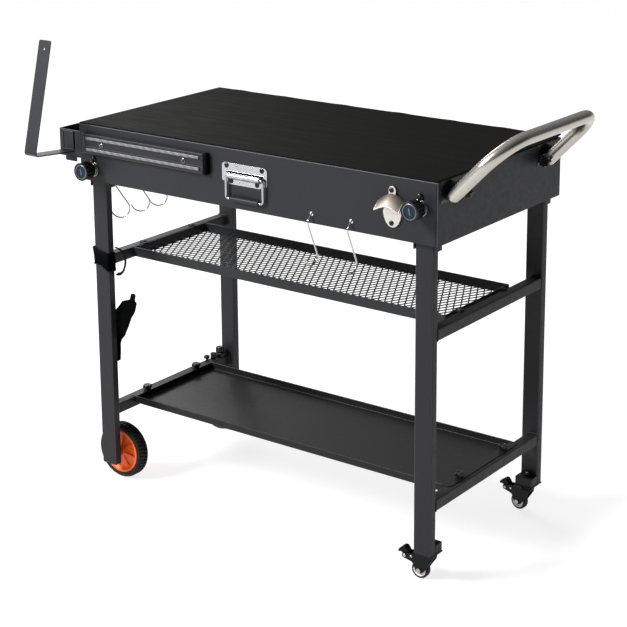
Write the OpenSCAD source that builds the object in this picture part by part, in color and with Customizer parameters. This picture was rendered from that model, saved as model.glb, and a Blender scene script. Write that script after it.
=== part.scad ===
// Folding outdoor prep cart: sheet-metal table, mesh shelf, lower tray,
// two big wheels, two braked casters, push handle and small fittings.
// +X runs to the right along the long front edge, +Y to the back, +Z up.
// All sizes in millimetres. The floor is z = 0.

/* [Table] */
// Length of the tabletop box along X
table_len = 950; // [700:1:1200]
// Depth of the tabletop box along Y
table_dep = 490; // [350:1:650]
// Height of the sheet-metal top above the floor
table_z = 859; // [700:1:1000]
// Height of the apron below that
apron_h = 128; // [80:1:180]
// Thickness of the folded sheet
sheet_t = 1.5; // [1:0.1:3]
// Thickness of the top mat
mat_t = 3; // [1:0.5:6]
// How far the mat stays inside the edges
mat_in = 0.5; // [0:0.5:10]

/* [Legs] */
// Distance of the leg centres from the middle, along X
leg_x = 435; // [300:1:560]
// Distance of the leg centres from the middle, along Y
leg_y = 220; // [150:1:300]
// Leg tube width along X
leg_w = 42; // [25:1:60]
// Leg tube depth along Y
leg_d = 20; // [12:1:40]
// Wall of the leg tubes
leg_t = 1.5; // [1:0.1:3]
// Bottom of the left legs
left_leg_z = 47; // [20:1:120]
// Bottom of the right legs
right_leg_z = 65; // [40:1:120]
// Height of the left pivots
left_pivot_z = 782; // [740:1:840]
// Height of the right pivots
right_pivot_z = 827; // [740:1:840]
// Side of the square cross tubes
bar_s = 25; // [15:1:40]
// Top of the middle cross tubes
mid_bar_z = 550; // [300:1:650]
// Top of the low cross tubes
low_bar_z = 185; // [120:1:300]

/* [Shelf and tray] */
// Half depth of the mesh shelf along Y
shelf_hy = 128; // [80:1:200]
// Height of the shelf rails
rail_h = 22; // [12:1:40]
// Left end of the mesh shelf
shelf_x1 = -430.5; // [-500:0.5:-200]
// Right end of the mesh shelf
shelf_x2 = 421.5; // [200:0.5:500]
// Half depth of the lower tray along Y
tray_hy = 140; // [80:1:200]
// Depth of the tray pan
tray_h = 17; // [8:1:40]
// Distance of the tray knobs from the middle along Y
tray_knob_y = 89; // [40:1:120]
// Distance of the tray knobs from the middle along X
tray_knob_x = 437; // [425:1:446]

/* [Wheels] */
// Radius of the big wheels
wheel_r = 65.7; // [50:0.1:90]
// Width of the big wheels
wheel_w = 31; // [20:1:50]
// Radius of the hub where the tyre sits
hub_r = 52.6; // [30:0.1:70]
// Inner face of the left legs to the wheel
wheel_gap = 16; // [4:1:30]
// Radius of the caster wheels
caster_r = 19.3; // [15:0.1:40]
// Width of the caster wheels
caster_w = 15; // [10:1:30]
// Distance of the caster swivel from the wheel axle
caster_trail = 18.6; // [10:0.1:40]
// Distance of the swivels from the middle along Y
caster_y = 201.5; // [150:0.5:240]

/* [Push handle] */
// X of the handle's fold axis
push_x = 494.5; // [489:0.5:520]
// Z of the handle's fold axis
push_z = 831; // [760:0.5:840]
// Y of the front arm
push_y1 = -217.5; // [-225:0.5:-100]
// Y of the back arm
push_y2 = 159.5; // [100:0.5:220]
// Length of the arms to the grip's centre line
push_len = 161; // [120:0.5:240]
// Angle of the arms above level
push_up = 45.5; // [0:0.5:80]
// Radius of the tube
push_r = 13.7; // [8:0.1:13.9]
// Bend radius of the tube
push_bend = 74.5; // [30:0.5:90]

/* [Hooks] */
// Radius of the hook wire
hook_r = 1.8; // [1:0.1:3]
// Height of the hook holes
hook_z = 749; // [740:1:800]
// X of the first front hook
hook_x1 = 171; // [-300:1:300]
// X of the second front hook
hook_x2 = 270; // [-300:1:340]
// Y of the first side hook
hook_y1 = -147; // [-180:1:0]
// Y of the second side hook
hook_y2 = -79.5; // [-150:0.5:100]
// Y of the third side hook
hook_y3 = -17.5; // [-100:0.5:180]
// Size of the side hooks against the front ones
side_hook_k = 1.2; // [1:0.01:1.4]
// Turn of the side hooks about the vertical
side_hook_turn = 35.5; // [-45:0.5:45]
// Lean of the side hooks towards the inside
side_hook_tilt = 9; // [0:0.5:12]

/* [Fittings] */
// Left end of the magnetic bar
mag_x1 = -458; // [-470:1:-300]
// Right end of the magnetic bar
mag_x2 = -95; // [-250:1:0]
// Middle height of the magnetic bar
mag_z = 818; // [760:1:840]
// Height of the magnetic bar
mag_h = 46; // [30:1:60]
// Depth of the magnetic bar
mag_d = 12; // [6:1:20]
// Middle of the carry handle along X
carry_x = -1; // [-80:1:200]
// Height of the carry handle's swing axis
carry_z = 803; // [770:1:820]
// Middle of the bottle opener along X
opener_x = 370; // [250:1:390]
// Radius of the lock knobs
lock_r = 20.4; // [12:0.1:22]
// Length of the lock knobs
lock_len = 40; // [20:1:60]
// Drop from pivot bolt to lock knob
lock_drop = 23; // [18:1:40]
// Left side of the caddy box
caddy_x = -543; // [-600:1:-500]
// Front of the caddy box
caddy_y = -240; // [-244:1:-100]
// Length of the caddy box along Y
caddy_len = 110; // [60:1:200]

/* [Hidden] */
$fn = 64;
hx = table_len / 2;
hy = table_dep / 2;
apron_z = table_z - apron_h;
// the footprint's middle, so that the whole cart is centred on the origin
grip_x = push_x + push_len * cos(push_up) + push_r;
strip_y = -362;
side_hook_z = hook_z - 2.3;
knob_face_y = hy + lock_len - 1;
off_x = (grip_x + caddy_x) / 2;
off_y = (knob_face_y + strip_y) / 2;
c_powder = [0.26, 0.27, 0.29];
c_black = [0.05, 0.05, 0.05];
c_steel = [0.75, 0.75, 0.74];

function lock_x(s) = s < 0 ? -leg_x - 3 : leg_x - 1;
module home() { translate([-off_x, -off_y, 0]) children(); }
// cylinder along Y from y1 to y2
module ycyl(x, z, y1, y2, r) { translate([x, y2, z]) rotate([90, 0, 0]) cylinder(h = y2 - y1, r = r); }
module xcyl(y, z, x1, x2, r) { translate([x1, y, z]) rotate([0, 90, 0]) cylinder(h = x2 - x1, r = r); }
module box(x1, y1, z1, x2, y2, z2) { translate([x1, y1, z1]) cube([x2 - x1, y2 - y1, z2 - z1]); }
// straight wire along +Z, then whatever follows at its end; turns are in XZ
module run(l, r) { cylinder(h = l, r = r); translate([0, 0, l]) children(); }
// the same for odd angles: the straight parts reach a little into the bends
module wire(l, r) { translate([0, 0, -0.2]) cylinder(h = l + 0.4, r = r); translate([0, 0, l]) children(); }
module bend_to(b, a, r) {
  translate([b, 0, 0]) rotate([90, 0, 0]) rotate([0, 0, 180 - a]) rotate_extrude(angle = a) translate([b, 0]) circle(r = r + 0.03);
  translate([b, 0, 0]) rotate([0, a, 0]) translate([-b, 0, 0]) children();
}
module bend_back(b, a, r) {
  translate([-b, 0, 0]) rotate([90, 0, 0]) rotate_extrude(angle = a) translate([b, 0]) circle(r = r + 0.03);
  translate([-b, 0, 0]) rotate([0, -a, 0]) translate([b, 0, 0]) children();
}
// bend of radius b through a degrees towards +X
module turn_to(b, a, r) {
  translate([b, 0, 0]) rotate([90, 0, 0]) rotate([0, 0, 180 - a]) rotate_extrude(angle = a) translate([b, 0]) circle(r = r);
  translate([b, 0, 0]) rotate([0, a, 0]) translate([-b, 0, 0]) children();
}
// bend towards -X
module turn_back(b, a, r) {
  translate([-b, 0, 0]) rotate([90, 0, 0]) rotate_extrude(angle = a) translate([b, 0]) circle(r = r);
  translate([-b, 0, 0]) rotate([0, -a, 0]) translate([b, 0, 0]) children();
}
module tube_z(x, y, z1, z2, w, d, t) {
  difference() {
    box(x - w / 2, y - d / 2, z1, x + w / 2, y + d / 2, z2);
    box(x - w / 2 + t, y - d / 2 + t, z1 + 2, x + w / 2 - t, y + d / 2 - t, z2 - 2);
  }
}

module table_shell() { home() color(c_powder) difference() {
  box(-hx, -hy, apron_z, hx, hy, table_z);
  box(-hx + sheet_t, -hy + sheet_t, apron_z - 1, hx - sheet_t, hy - sheet_t, table_z - sheet_t);
  for (s = [-1, 1]) {
    ycyl(s * (leg_x - 1), s < 0 ? left_pivot_z : right_pivot_z, -hy - 1, hy + 1, 4.2);
    ycyl(lock_x(s), (s < 0 ? left_pivot_z : right_pivot_z) - lock_drop, -hy - 1, hy + 1, 4.0);
  }
  for (x = [hook_x1, hook_x2]) ycyl(x, hook_z + 1.8, -hy - 1, -hy + 3, 4.5);
  for (y = [hook_y1, hook_y2, hook_y3]) xcyl(y, side_hook_z + 3.2, -hx - 1, -hx + 3, 6.0);
} }

module top_mat() { home() color([0.13, 0.13, 0.125])
  box(-hx + mat_in, -hy + mat_in, table_z, hx - mat_in, hy - mat_in, table_z + mat_t); }

// channel brackets that hold the leg tops inside the apron
module leg_brackets() { home() color(c_powder)
  for (sx = [-1, 1], sy = [-1, 1]) {
    pz = sx < 0 ? left_pivot_z : right_pivot_z;
    mirror([0, sy > 0 ? 1 : 0, 0]) difference() {
      box(sx * leg_x - 26, -hy + sheet_t, 714, sx * leg_x + 26, -206, table_z - 4);
      box(sx * leg_x - 23, -hy + sheet_t + 2, 713, sx * leg_x + 23, -205, table_z - 3);
      box(sx * leg_x - 30, -hy, 710, sx * leg_x + 30, -leg_y - leg_d / 2, apron_z + 1);
      ycyl(sx * (leg_x - 1), pz, -hy, -hy + 5, 4.2);
      ycyl(lock_x(sx), pz - lock_drop, -hy, -hy + 5, 4.0);
    }
  } }

// one bolt, domed head outside, nut inside the leg's far wall
module pivot_bolts() { home() color(c_steel)
  for (sx = [-1, 1], sy = [-1, 1]) {
    pz = sx < 0 ? left_pivot_z : right_pivot_z;
    mirror([0, sy > 0 ? 1 : 0, 0]) {
      ycyl(sx * (leg_x - 1), pz, -hy - 0.2, -203, 4);
      translate([sx * (leg_x - 1), -hy, pz]) rotate([90, 0, 0]) rotate_extrude() polygon([[0, 0], [6.6, 0], [6.6, 1.2], [5.5, 3.0], [3.2, 4.0], [0, 4.0]]);
      translate([sx * (leg_x - 1), -leg_y + leg_d / 2, pz]) rotate([-90, 0, 0]) cylinder(h = 6, r = 7.4, $fn = 6);
    }
  } }

module leg(sx, sy) {
  zb = sx < 0 ? left_leg_z : right_leg_z;
  pz = sx < 0 ? left_pivot_z : right_pivot_z;
  color(c_powder) difference() {
    tube_z(sx * leg_x, sy * leg_y, zb, pz + 24, leg_w, leg_d, leg_t);
    ycyl(sx * (leg_x - 1), pz, sy * leg_y - 20, sy * leg_y + 20, 4.15);
    ycyl(lock_x(sx), pz - lock_drop, sy * leg_y - 20, sy * leg_y + 20, 4.4);
    if (sx < 0) ycyl(sx * leg_x, wheel_r, sy > 0 ? leg_y - 20 : -leg_y, sy > 0 ? leg_y : -leg_y + 20, 6.1);
  }
}
module leg_left_front() { home() leg(-1, -1); }
module leg_left_back() { home() leg(-1, 1); }
module leg_right_front() { home() leg(1, -1); }
module leg_right_back() { home() leg(1, 1); }

// cross tube along Y, flush with the legs' outer side
module bar(sx, zt) {
  x = sx * (leg_x + leg_w / 2 - bar_s / 2);
  y = leg_y - leg_d / 2;
  color(c_powder) difference() {
    box(x - bar_s / 2, -y, zt - bar_s, x + bar_s / 2, y, zt);
    box(x - bar_s / 2 + 1.5, -y + 2, zt - bar_s + 1.5, x + bar_s / 2 - 1.5, y - 2, zt - 1.5);
    if (zt < 300) for (s = [-1, 1]) translate([sx * tray_knob_x, s * tray_knob_y, zt - 3]) cylinder(h = 6, r = 3.4);
  }
}
module left_bars() { home() { bar(-1, mid_bar_z); bar(-1, low_bar_z); } }
module right_bars() { home() { bar(1, mid_bar_z); bar(1, low_bar_z); } }

// stub axle with a spacer collar and a lock nut, for each big wheel
wheel_y1 = leg_y - leg_d / 2 - wheel_gap;
wheel_y2 = wheel_y1 - wheel_w;
module axle_stubs() { home() color([0.62, 0.62, 0.62])
  for (sy = [0, 1]) mirror([0, sy, 0]) {
    ycyl(-leg_x, wheel_r, -leg_y - leg_d / 2 + 1.5, -wheel_y2 + 10, 6);
    difference() { ycyl(-leg_x, wheel_r, -leg_y + leg_d / 2, -wheel_y1 - 0.4, 10); ycyl(-leg_x, wheel_r, -300, 0, 5.9); }
    translate([-leg_x, -wheel_y2 + 1, wheel_r]) rotate([-90, 0, 0]) cylinder(h = 7, r = 9.2, $fn = 6);
  } }

module caster_blocks() { home() color(c_powder)
  for (sy = [0, 1]) mirror([0, sy, 0]) difference() {
    box(leg_x - leg_w / 2, -leg_y + leg_d / 2, right_leg_z, leg_x + leg_w / 2, -185, right_leg_z + 20);
    translate([leg_x, -caster_y, right_leg_z - 1]) cylinder(h = 30, r = 4.15);
  } }

// fixed plate, stud and nut that carry each caster
module caster_mounts() { home() color([0.3, 0.3, 0.31])
  for (sy = [0, 1]) mirror([0, sy, 0]) {
    box(leg_x - 22, -230, right_leg_z - 3, leg_x + 22, -184, right_leg_z);
    translate([leg_x, -caster_y, 46]) cylinder(h = right_leg_z + 29 - 46, r = 4);
    translate([leg_x, -caster_y, 47]) cylinder(h = 3.6, r = 6.9, $fn = 6);
    translate([leg_x, -caster_y, right_leg_z + 20]) cylinder(h = 6.5, r = 7.5, $fn = 6);
  } }

// open-topped side box with a sunk panel and a slot in its front wall
module caddy_box() { home() color(c_powder) {
  difference() {
    box(caddy_x, caddy_y, 777, -hx, caddy_y + caddy_len, 838);
    box(caddy_x + 1.5, caddy_y + 1.5, 788.5, -hx - 1.5, caddy_y + caddy_len - 1.5, 850);
    box(caddy_x + 1.5, caddy_y + 1.5, 770, -hx - 1.5, caddy_y + caddy_len - 1.5, 787);
    box(-531, caddy_y - 1, 794, -501, caddy_y + 0.8, 835);
    box(-500, caddy_y - 1, 794, -495, caddy_y + 3, 835);
    box(-534, caddy_y - 1, 788.5, -496, caddy_y + 3, 792.2);
    for (y = [caddy_y + 25, caddy_y + 85]) xcyl(y, 815, -hx - 5, -hx + 1, 2.5);
  }
  box(-524, caddy_y, 767, -492, caddy_y + 1.5, 777);
} }

// bent flat strip: level inside the box, sloping out, then upright
module towel_arm() { home() color(c_powder)
  difference() {
    translate([-533, 0, 0]) rotate([90, 0, 90]) linear_extrude(height = 36)
      polygon([[-180, 788.5], [-243, 788.5], [strip_y, 798.6], [-299, 1050.6], [-296, 1050], [-358.6, 801], [-243, 791.5], [-180, 791.5]]);
    ycyl(-515, 1034, -320, -280, 3);
  } }

module magnet_body() { home() color(c_black) difference() {
  box(mag_x1, -hy - mag_d, mag_z - mag_h / 2, mag_x2, -hy, mag_z + mag_h / 2);
  for (s = [-1, 1]) box(mag_x1 + 14, -hy - mag_d - 1, mag_z + s * 12.5 - 4, mag_x2 - 22, -hy - mag_d + 2, mag_z + s * 12.5 + 4);
} }

module magnet_strips() { home() color([0.66, 0.66, 0.64])
  for (s = [-1, 1]) box(mag_x1 + 14, -hy - mag_d - 1.5, mag_z + s * 12.5 - 4, mag_x2 - 22, -hy - mag_d + 2, mag_z + s * 12.5 + 4); }

// round screw heads: y is the surface they sit on
module screw_head(x, y, z, r, h) { translate([x, y, z]) rotate([90, 0, 0]) rotate_extrude() polygon([[0, 0], [r, 0], [r * 0.9, h * 0.5], [r * 0.5, h], [0, h]]); }
module panel_screws() { home() color(c_steel) {
  screw_head(-400, -hy - mag_d, mag_z, 4.5, 2);
  screw_head(-161, -hy - mag_d, mag_z, 4.5, 2);
  screw_head(opener_x, -hy - 4, 831, 4.8, 2.2);
  screw_head(opener_x, -hy - 4, 764, 4.8, 2.2);
  for (p = [[-47, 822.5], [47, 822.5], [-35, 790.5], [34, 790.5]]) screw_head(carry_x + p[0], -hy - 2, p[1], 5, 1.8);
  for (y = [caddy_y + 25, caddy_y + 85]) translate([-hx - 1.5, y, 815]) rotate([0, -90, 0]) cylinder(h = 2, r = 4.2);
} }

bail_x = carry_x + 3.5;
module carry_plate() { home() color([0.86, 0.86, 0.86]) {
  difference() {
    union() {
      box(carry_x - 60, -hy - 2, 788, carry_x + 60, -hy, 829);
      box(carry_x - 43, -hy - 2, 783, carry_x + 43, -hy, 793);
      xcyl(-hy - 6.8, carry_z, bail_x - 41.6, bail_x + 41.6, 6.0);
      box(bail_x - 41.6, -hy - 6.8, carry_z - 5, bail_x + 41.6, -hy - 1, carry_z + 5);
    }
    for (s = [-1, 1]) xcyl(-hy - 6.8, carry_z, bail_x + s * 38 - 7, bail_x + s * 38 + 7, 3.55);
  }
} }

// hanging bail: pins in the plate's barrel, two legs and a cross wire
module carry_bail() { home() color([0.86, 0.86, 0.86])
  translate([bail_x - 36, -hy - 6.8, carry_z]) rotate([0, -90, 0])
    run(6, 3.5) turn_back(6, 90, 3.5) run(38, 3.5) turn_back(6, 90, 3.5) run(84, 3.5) turn_back(6, 90, 3.5) run(38, 3.5) turn_back(6, 90, 3.5) run(6, 3.5); }

module carry_grip() { home() color(c_black)
  difference() {
    xcyl(-hy - 6.8, carry_z - 50, bail_x - 39, bail_x + 39, 5.6);
    xcyl(-hy - 6.8, carry_z - 50, bail_x - 41, bail_x + 41, 3.5);
  } }

// wall opener: pear-shaped base with an arched hood that slopes out over it
module bottle_opener() { home() color([0.72, 0.68, 0.6]) translate([opener_x, -hy, 0]) rotate([90, 0, 0]) {
  difference() {
    union() {
      translate([0, 831, 0]) cylinder(h = 4, r = 8.5);
      translate([-8.5, 800, 0]) cube([17, 31, 4]);
      linear_extrude(height = 4) polygon([[-22, 786], [-20, 775], [-15, 764], [-8, 757], [0, 755], [8, 757], [15, 764], [20, 775], [22, 786], [17, 800], [-17, 800]]);
      difference() {
        translate([0, 815, 1]) rotate([34, 0, 0]) translate([0, -815, 0]) linear_extrude(height = 36)
          polygon([[-27.5, 807], [-18, 814.5], [-8.5, 820], [8.5, 820], [18, 814.5], [27.5, 807], [27.5, 804.2], [18, 811.6], [8.5, 817], [-8.5, 817], [-18, 811.6], [-27.5, 804.2]]);
        translate([-60, 700, -60]) cube([120, 200, 60]);
        translate([-60, 700, 25.5]) cube([120, 200, 60]);
      }
    }
    translate([0, 831, -1]) cylinder(h = 9, r = 2.6);
    translate([0, 764, -1]) cylinder(h = 9, r = 2.6);
  }
} }

// ear beside each handle arm, with a thin flange on the apron behind the arm
module push_brackets() { home() color(c_black)
  for (y = [push_y1, push_y2]) {
    ye = y + push_r + 0.5;
    difference() {
      union() {
        box(hx, ye, push_z - 15, push_x + 2, ye + 3, push_z + 29);
        ycyl(push_x, push_z, ye, ye + 3, 15);
        box(hx, ye - 34, push_z - 15, hx + 1.4, ye + 3, push_z + 29);
      }
      ycyl(push_x, push_z, ye - 2, ye + 5, 4.2);
      translate([push_x, ye - 1, push_z + 34]) rotate([-90, 0, 0]) cylinder(h = 5, r = 14);
    }
  } }

module push_path(r) {
  run(push_len - push_bend, r) turn_to(push_bend, 90, r) run(push_y2 - push_y1 - 2 * push_bend, r) turn_to(push_bend, 90, r) run(push_len - push_bend, r);
}
module push_tube() { home() color([0.8, 0.79, 0.77]) difference() {
  union() {
    translate([push_x, push_y1, push_z]) rotate([0, 90 - push_up, 0]) rotate([0, 0, 90]) push_path(push_r);
    for (y = [push_y1, push_y2]) ycyl(push_x, push_z, y - push_r + 0.3, y + push_r - 0.3, push_r + 0.2);
  }
  translate([push_x, push_y1, push_z]) rotate([0, 90 - push_up, 0]) rotate([0, 0, 90]) translate([0, 0, 18]) {
    run(push_len - push_bend - 18, push_r - 1.6) turn_to(push_bend, 90, push_r - 1.6) run(push_y2 - push_y1 - 2 * push_bend, push_r - 1.6) turn_to(push_bend, 90, push_r - 1.6) run(push_len - push_bend - 18, push_r - 1.6);
  }
  ycyl(push_x, push_z, push_y1 - 30, push_y1 + 30, 4.25);
  ycyl(push_x, push_z, push_y2 - 30, push_y2 + 30, 4.25);
} }

// lobed hand knob about +Z from z = 0, with n soft lobes
module star(r, h, n) { linear_extrude(height = h) polygon([for (i = [0:n * 6 - 1]) (0.895 + 0.105 * cos(i * 60)) * r * [cos(i * 60 / n), sin(i * 60 / n)]]); }
// y: middle of the arm; d: where the knob's back starts; stud ends reach s1 and s2
module push_knob(y, s, d, s1, s2) { color(c_black) translate([push_x, y, push_z]) rotate([-90 * s, 0, 0]) {
  translate([0, 0, d]) cylinder(h = 5, r = 8);
  translate([0, 0, d + 3]) star(14.8, 10, 8);
  translate([0, 0, s1]) cylinder(h = s2 - s1, r = 4.12);
} }
module push_knob_front() { home() push_knob(push_y1, 1, 37.5, -push_r + 1, 42); }
module push_knob_back() { home() push_knob(push_y2, -1, push_r + 0.3, -push_r - 5, 20); }

// ribbed lock knob with a ring round its face, on a stud through the apron
module lock_knob(sx, sy) {
  pz = (sx < 0 ? left_pivot_z : right_pivot_z) - lock_drop;
  mirror([0, sy > 0 ? 1 : 0, 0]) translate([lock_x(sx), -hy, pz]) rotate([90, 0, 0]) color(c_black) {
    difference() {
      union() {
        translate([0, 0, 0.5]) cylinder(h = 5.5, r = 12);
        translate([0, 0, 5.5]) star(lock_r - 0.5, lock_len - 9, 10);
        translate([0, 0, lock_len - 5]) cylinder(h = 4, r = lock_r);
      }
      translate([0, 0, lock_len - 2.5]) cylinder(h = 5, r = 13);
    }
    translate([0, 0, -20]) cylinder(h = 24, r = 3.93);
  }
}
module lock_knob_left_front() { home() lock_knob(-1, -1); }
module lock_knob_left_back() { home() lock_knob(-1, 1); }
module lock_knob_right_front() { home() lock_knob(1, -1); }
module lock_knob_right_back() { home() lock_knob(1, 1); }

// mesh shelf: welded frame of flat rails, sheet of mesh, four tabs on the bars
bar_in = leg_x + leg_w / 2 - bar_s;
module shelf_rails() { home() color(c_powder) difference() {
  box(shelf_x1, -shelf_hy, mid_bar_z - rail_h, shelf_x2, shelf_hy, mid_bar_z);
  box(shelf_x1 + 3, -shelf_hy + 3, mid_bar_z - rail_h - 1, shelf_x2 - 3, shelf_hy - 3, mid_bar_z + 1);
} }
module shelf_mesh() { home() color([0.32, 0.32, 0.33])
  box(shelf_x1 + 3, -shelf_hy + 3, mid_bar_z - rail_h + 1, shelf_x2 - 3, shelf_hy - 3, mid_bar_z - rail_h + 3); }
module shelf_tabs() { home() color(c_powder)
  for (y = [-86, 86]) {
    box(shelf_x2 - 3, y - 7, mid_bar_z, bar_in + 6, y + 7, mid_bar_z + 2);
    box(shelf_x1 - 13, y - 7, mid_bar_z, shelf_x1 + 3, y + 7, mid_bar_z + 2);
    for (x = [shelf_x1 - 7, shelf_x2 + 8]) translate([x, y, mid_bar_z + 2]) cylinder(h = 2.5, r = 3.5);
  } }

// lower tray: pan hung between the bars, end flanges on top of them
tray_hx = leg_x + leg_w / 2 - bar_s - 1;
module tray_pan() { home() color([0.29, 0.29, 0.3]) difference() {
  union() {
    box(-tray_hx, -tray_hy, low_bar_z + 1.5 - tray_h, tray_hx, tray_hy, low_bar_z + 1.5);
    translate([0, 0, low_bar_z]) linear_extrude(height = 1.5) polygon([for (q = [[1, 1, 0], [-1, 1, 90], [-1, -1, 180], [1, -1, 270]], a = [0:15:90])
      [q[0] * (tray_hx + 7) + 10 * cos(a + q[2]), q[1] * (tray_hy - 10) + 10 * sin(a + q[2])]]);
  }
  box(-tray_hx + 1.5, -tray_hy + 1.5, low_bar_z + 3 - tray_h, tray_hx - 1.5, tray_hy - 1.5, low_bar_z + 5);
  for (sx = [-1, 1], sy = [-1, 1]) translate([sx * tray_knob_x, sy * tray_knob_y, low_bar_z - 2]) cylinder(h = 6, r = 3.05);
} }
module tray_knob(sx, sy) {
  translate([sx * tray_knob_x, sy * tray_knob_y, low_bar_z + 1.7]) color(c_black) {
    cylinder(h = 4, r = 7);
    translate([0, 0, 3.5]) star(11.5, 8, 6);
    translate([0, 0, -9]) cylinder(h = 10, r = 3);
  }
}
module tray_knob_a() { home() tray_knob(-1, -1); }
module tray_knob_b() { home() tray_knob(-1, 1); }
module tray_knob_c() { home() tray_knob(1, -1); }
module tray_knob_d() { home() tray_knob(1, 1); }

// big wheel about Y, outer face at y = -wheel_y1 for the front one
module tyre() { color(c_black) translate([-leg_x, -wheel_y1, wheel_r]) rotate([-90, 0, 0]) rotate_extrude($fn = 96)
  polygon([[hub_r, 0.5], [hub_r + 5, 0], [wheel_r - 4.5, 1.5], [wheel_r, 6], [wheel_r, wheel_w - 6], [wheel_r - 4.5, wheel_w - 1.5], [hub_r + 5, wheel_w], [hub_r, wheel_w - 0.5]]); }
module hub() { color([0.9, 0.33, 0.1]) translate([-leg_x, -wheel_y1, wheel_r]) rotate([-90, 0, 0]) rotate_extrude($fn = 96)
  polygon([[6.06, 0], [12, 0], [13, 5], [40, 7], [48, 1.5], [hub_r, 1], [hub_r, wheel_w - 1], [48, wheel_w - 1.5], [40, wheel_w - 9], [13, wheel_w - 7], [12, wheel_w], [6.06, wheel_w]]); }
module tyre_front() { home() tyre(); }
module hub_front() { home() hub(); }
module tyre_back() { home() mirror([0, 1, 0]) tyre(); }
module hub_back() { home() mirror([0, 1, 0]) hub(); }

// caster, swivel on the Z axis, wheel trailing towards -X
module caster_at(sy, yaw) { translate([leg_x, sy * caster_y, 0]) rotate([0, 0, yaw]) children(); }
module fork() { color([0.13, 0.13, 0.14]) {
  difference() {
    union() {
      for (s = [-1, 1]) translate([0, s * 9.6 + 0.9, 0]) rotate([90, 0, 0]) linear_extrude(height = 1.8)
        polygon([[14, 53], [14, 47], [-10, 15], [-15, 12], [-21, 12], [-26, 16], [-34, 34], [-57, 39], [-60, 44], [-58, 49], [-36, 53]]);
      box(-32, -10.5, 51, 14, 10.5, 53.6);
      translate([0, 0, 53.6]) cylinder(h = 7.6, r = 17);
    }
    translate([0, 0, 50]) cylinder(h = 20, r = 4.08);
  }
  ycyl(-caster_trail, caster_r, -13, 13, 2.95);
  for (s = [-1, 1]) translate([-caster_trail, s * 11.9, caster_r]) rotate([90, 0, 0]) translate([0, 0, -1.4]) cylinder(h = 2.8, r = 5.4, $fn = 6);
  ycyl(-53, 44.5, -12.4, 12.4, 2.9);
} }
module pedal() { color(c_black) difference() {
  union() {
    translate([0, 8, 0]) rotate([90, 0, 0]) linear_extrude(height = 16)
      polygon([[-43, 48], [-48, 57], [-53, 62.5], [-59, 62.5], [-66, 57], [-70.5, 51.5], [-68.5, 48], [-63, 49.5], [-57.5, 46.5], [-52, 39.5], [-44, 39.5]]);
  }
  ycyl(-53, 44.5, -20, 20, 3.0);
} }
module ctyre() { color(c_black) translate([-caster_trail, -caster_w / 2, caster_r]) rotate([-90, 0, 0]) rotate_extrude($fn = 64)
  polygon([[14.5, 0], [17.8, 0.4], [caster_r, 2.5], [caster_r, caster_w - 2.5], [17.8, caster_w - 0.4], [14.5, caster_w]]); }
module crim() { color([0.85, 0.85, 0.83]) translate([-caster_trail, -caster_w / 2, caster_r]) rotate([-90, 0, 0]) rotate_extrude($fn = 64)
  polygon([[3.0, 0.2], [6, 0.2], [7, 2.5], [11, 2.5], [12, 0.6], [14.5, 0.6], [14.5, caster_w - 0.6], [12, caster_w - 0.6], [11, caster_w - 2.5], [7, caster_w - 2.5], [6, caster_w - 0.2], [3.0, caster_w - 0.2]]); }
yaw_f = 3; yaw_b = -7;
module fork_front() { home() caster_at(-1, yaw_f) fork(); }
module pedal_front() { home() caster_at(-1, yaw_f) pedal(); }
module caster_tyre_front() { home() caster_at(-1, yaw_f) ctyre(); }
module caster_rim_front() { home() caster_at(-1, yaw_f) crim(); }
module fork_back() { home() caster_at(1, yaw_b) fork(); }
module pedal_back() { home() caster_at(1, yaw_b) pedal(); }
module caster_tyre_back() { home() caster_at(1, yaw_b) ctyre(); }
module caster_rim_back() { home() caster_at(1, yaw_b) crim(); }

// hook in the XZ plane: +X is away from the apron, origin at the hole
module hook(k) { color(c_steel) translate([-14.5 * k, 0, -12 * k])
  wire(5.5 * k, hook_r) bend_to(9 * k, 135, hook_r) wire(10 * k, hook_r) bend_to(12 * k, 69, hook_r) wire(68.3 * k, hook_r) bend_back(18 * k, 189, hook_r) wire(3 * k, hook_r); }
module front_hook(x) { translate([x, -hy, hook_z]) rotate([0, 0, -90]) hook(1); }
module side_hook(y) { translate([-hx, y, side_hook_z]) rotate([0, 0, 180 + side_hook_turn]) rotate([0, side_hook_tilt, 0]) hook(side_hook_k); }
module hook_front_a() { home() front_hook(hook_x1); }
module hook_front_b() { home() front_hook(hook_x2); }
module hook_side_a() { home() side_hook(hook_y1); }
module hook_side_b() { home() side_hook(hook_y2); }
module hook_side_c() { home() side_hook(hook_y3); }

// strap wrapped round the left front leg, its looped end and a hanging tail
module strap_band(g, h) { difference() {
  box(-leg_w / 2 - g, -leg_d / 2 - g, -h / 2, leg_w / 2 + g, leg_d / 2 + g, h / 2);
  box(-leg_w / 2, -leg_d / 2, -h, leg_w / 2, leg_d / 2, h);
} }
module leg_strap() { home() color(c_black) difference() {
  translate([-leg_x, -leg_y, 542]) multmatrix([[1, 0, 0, 0], [0, 1, 0, 0], [-0.4, 0, 1, 0], [0, 0, 0, 1]]) strap_band(2.6, 26);
  box(-460, -leg_y + leg_d / 2 - 0.5, mid_bar_z - bar_s - 0.2, -leg_x - leg_w / 2 + bar_s + 0.2, -200, mid_bar_z + 0.2);
} }
module strap_ring() { home() color(c_black) translate([-411.2, -203.5, 540]) rotate([90, 0, 0]) difference() {
  union() { scale([1, 1.15, 1]) cylinder(h = 8, r = 29); }
  translate([0, 0, -1]) scale([1, 1.15, 1]) cylinder(h = 10, r = 26.5);
  translate([-100, -50, -1]) cube([100, 100, 12]);
} }
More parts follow.
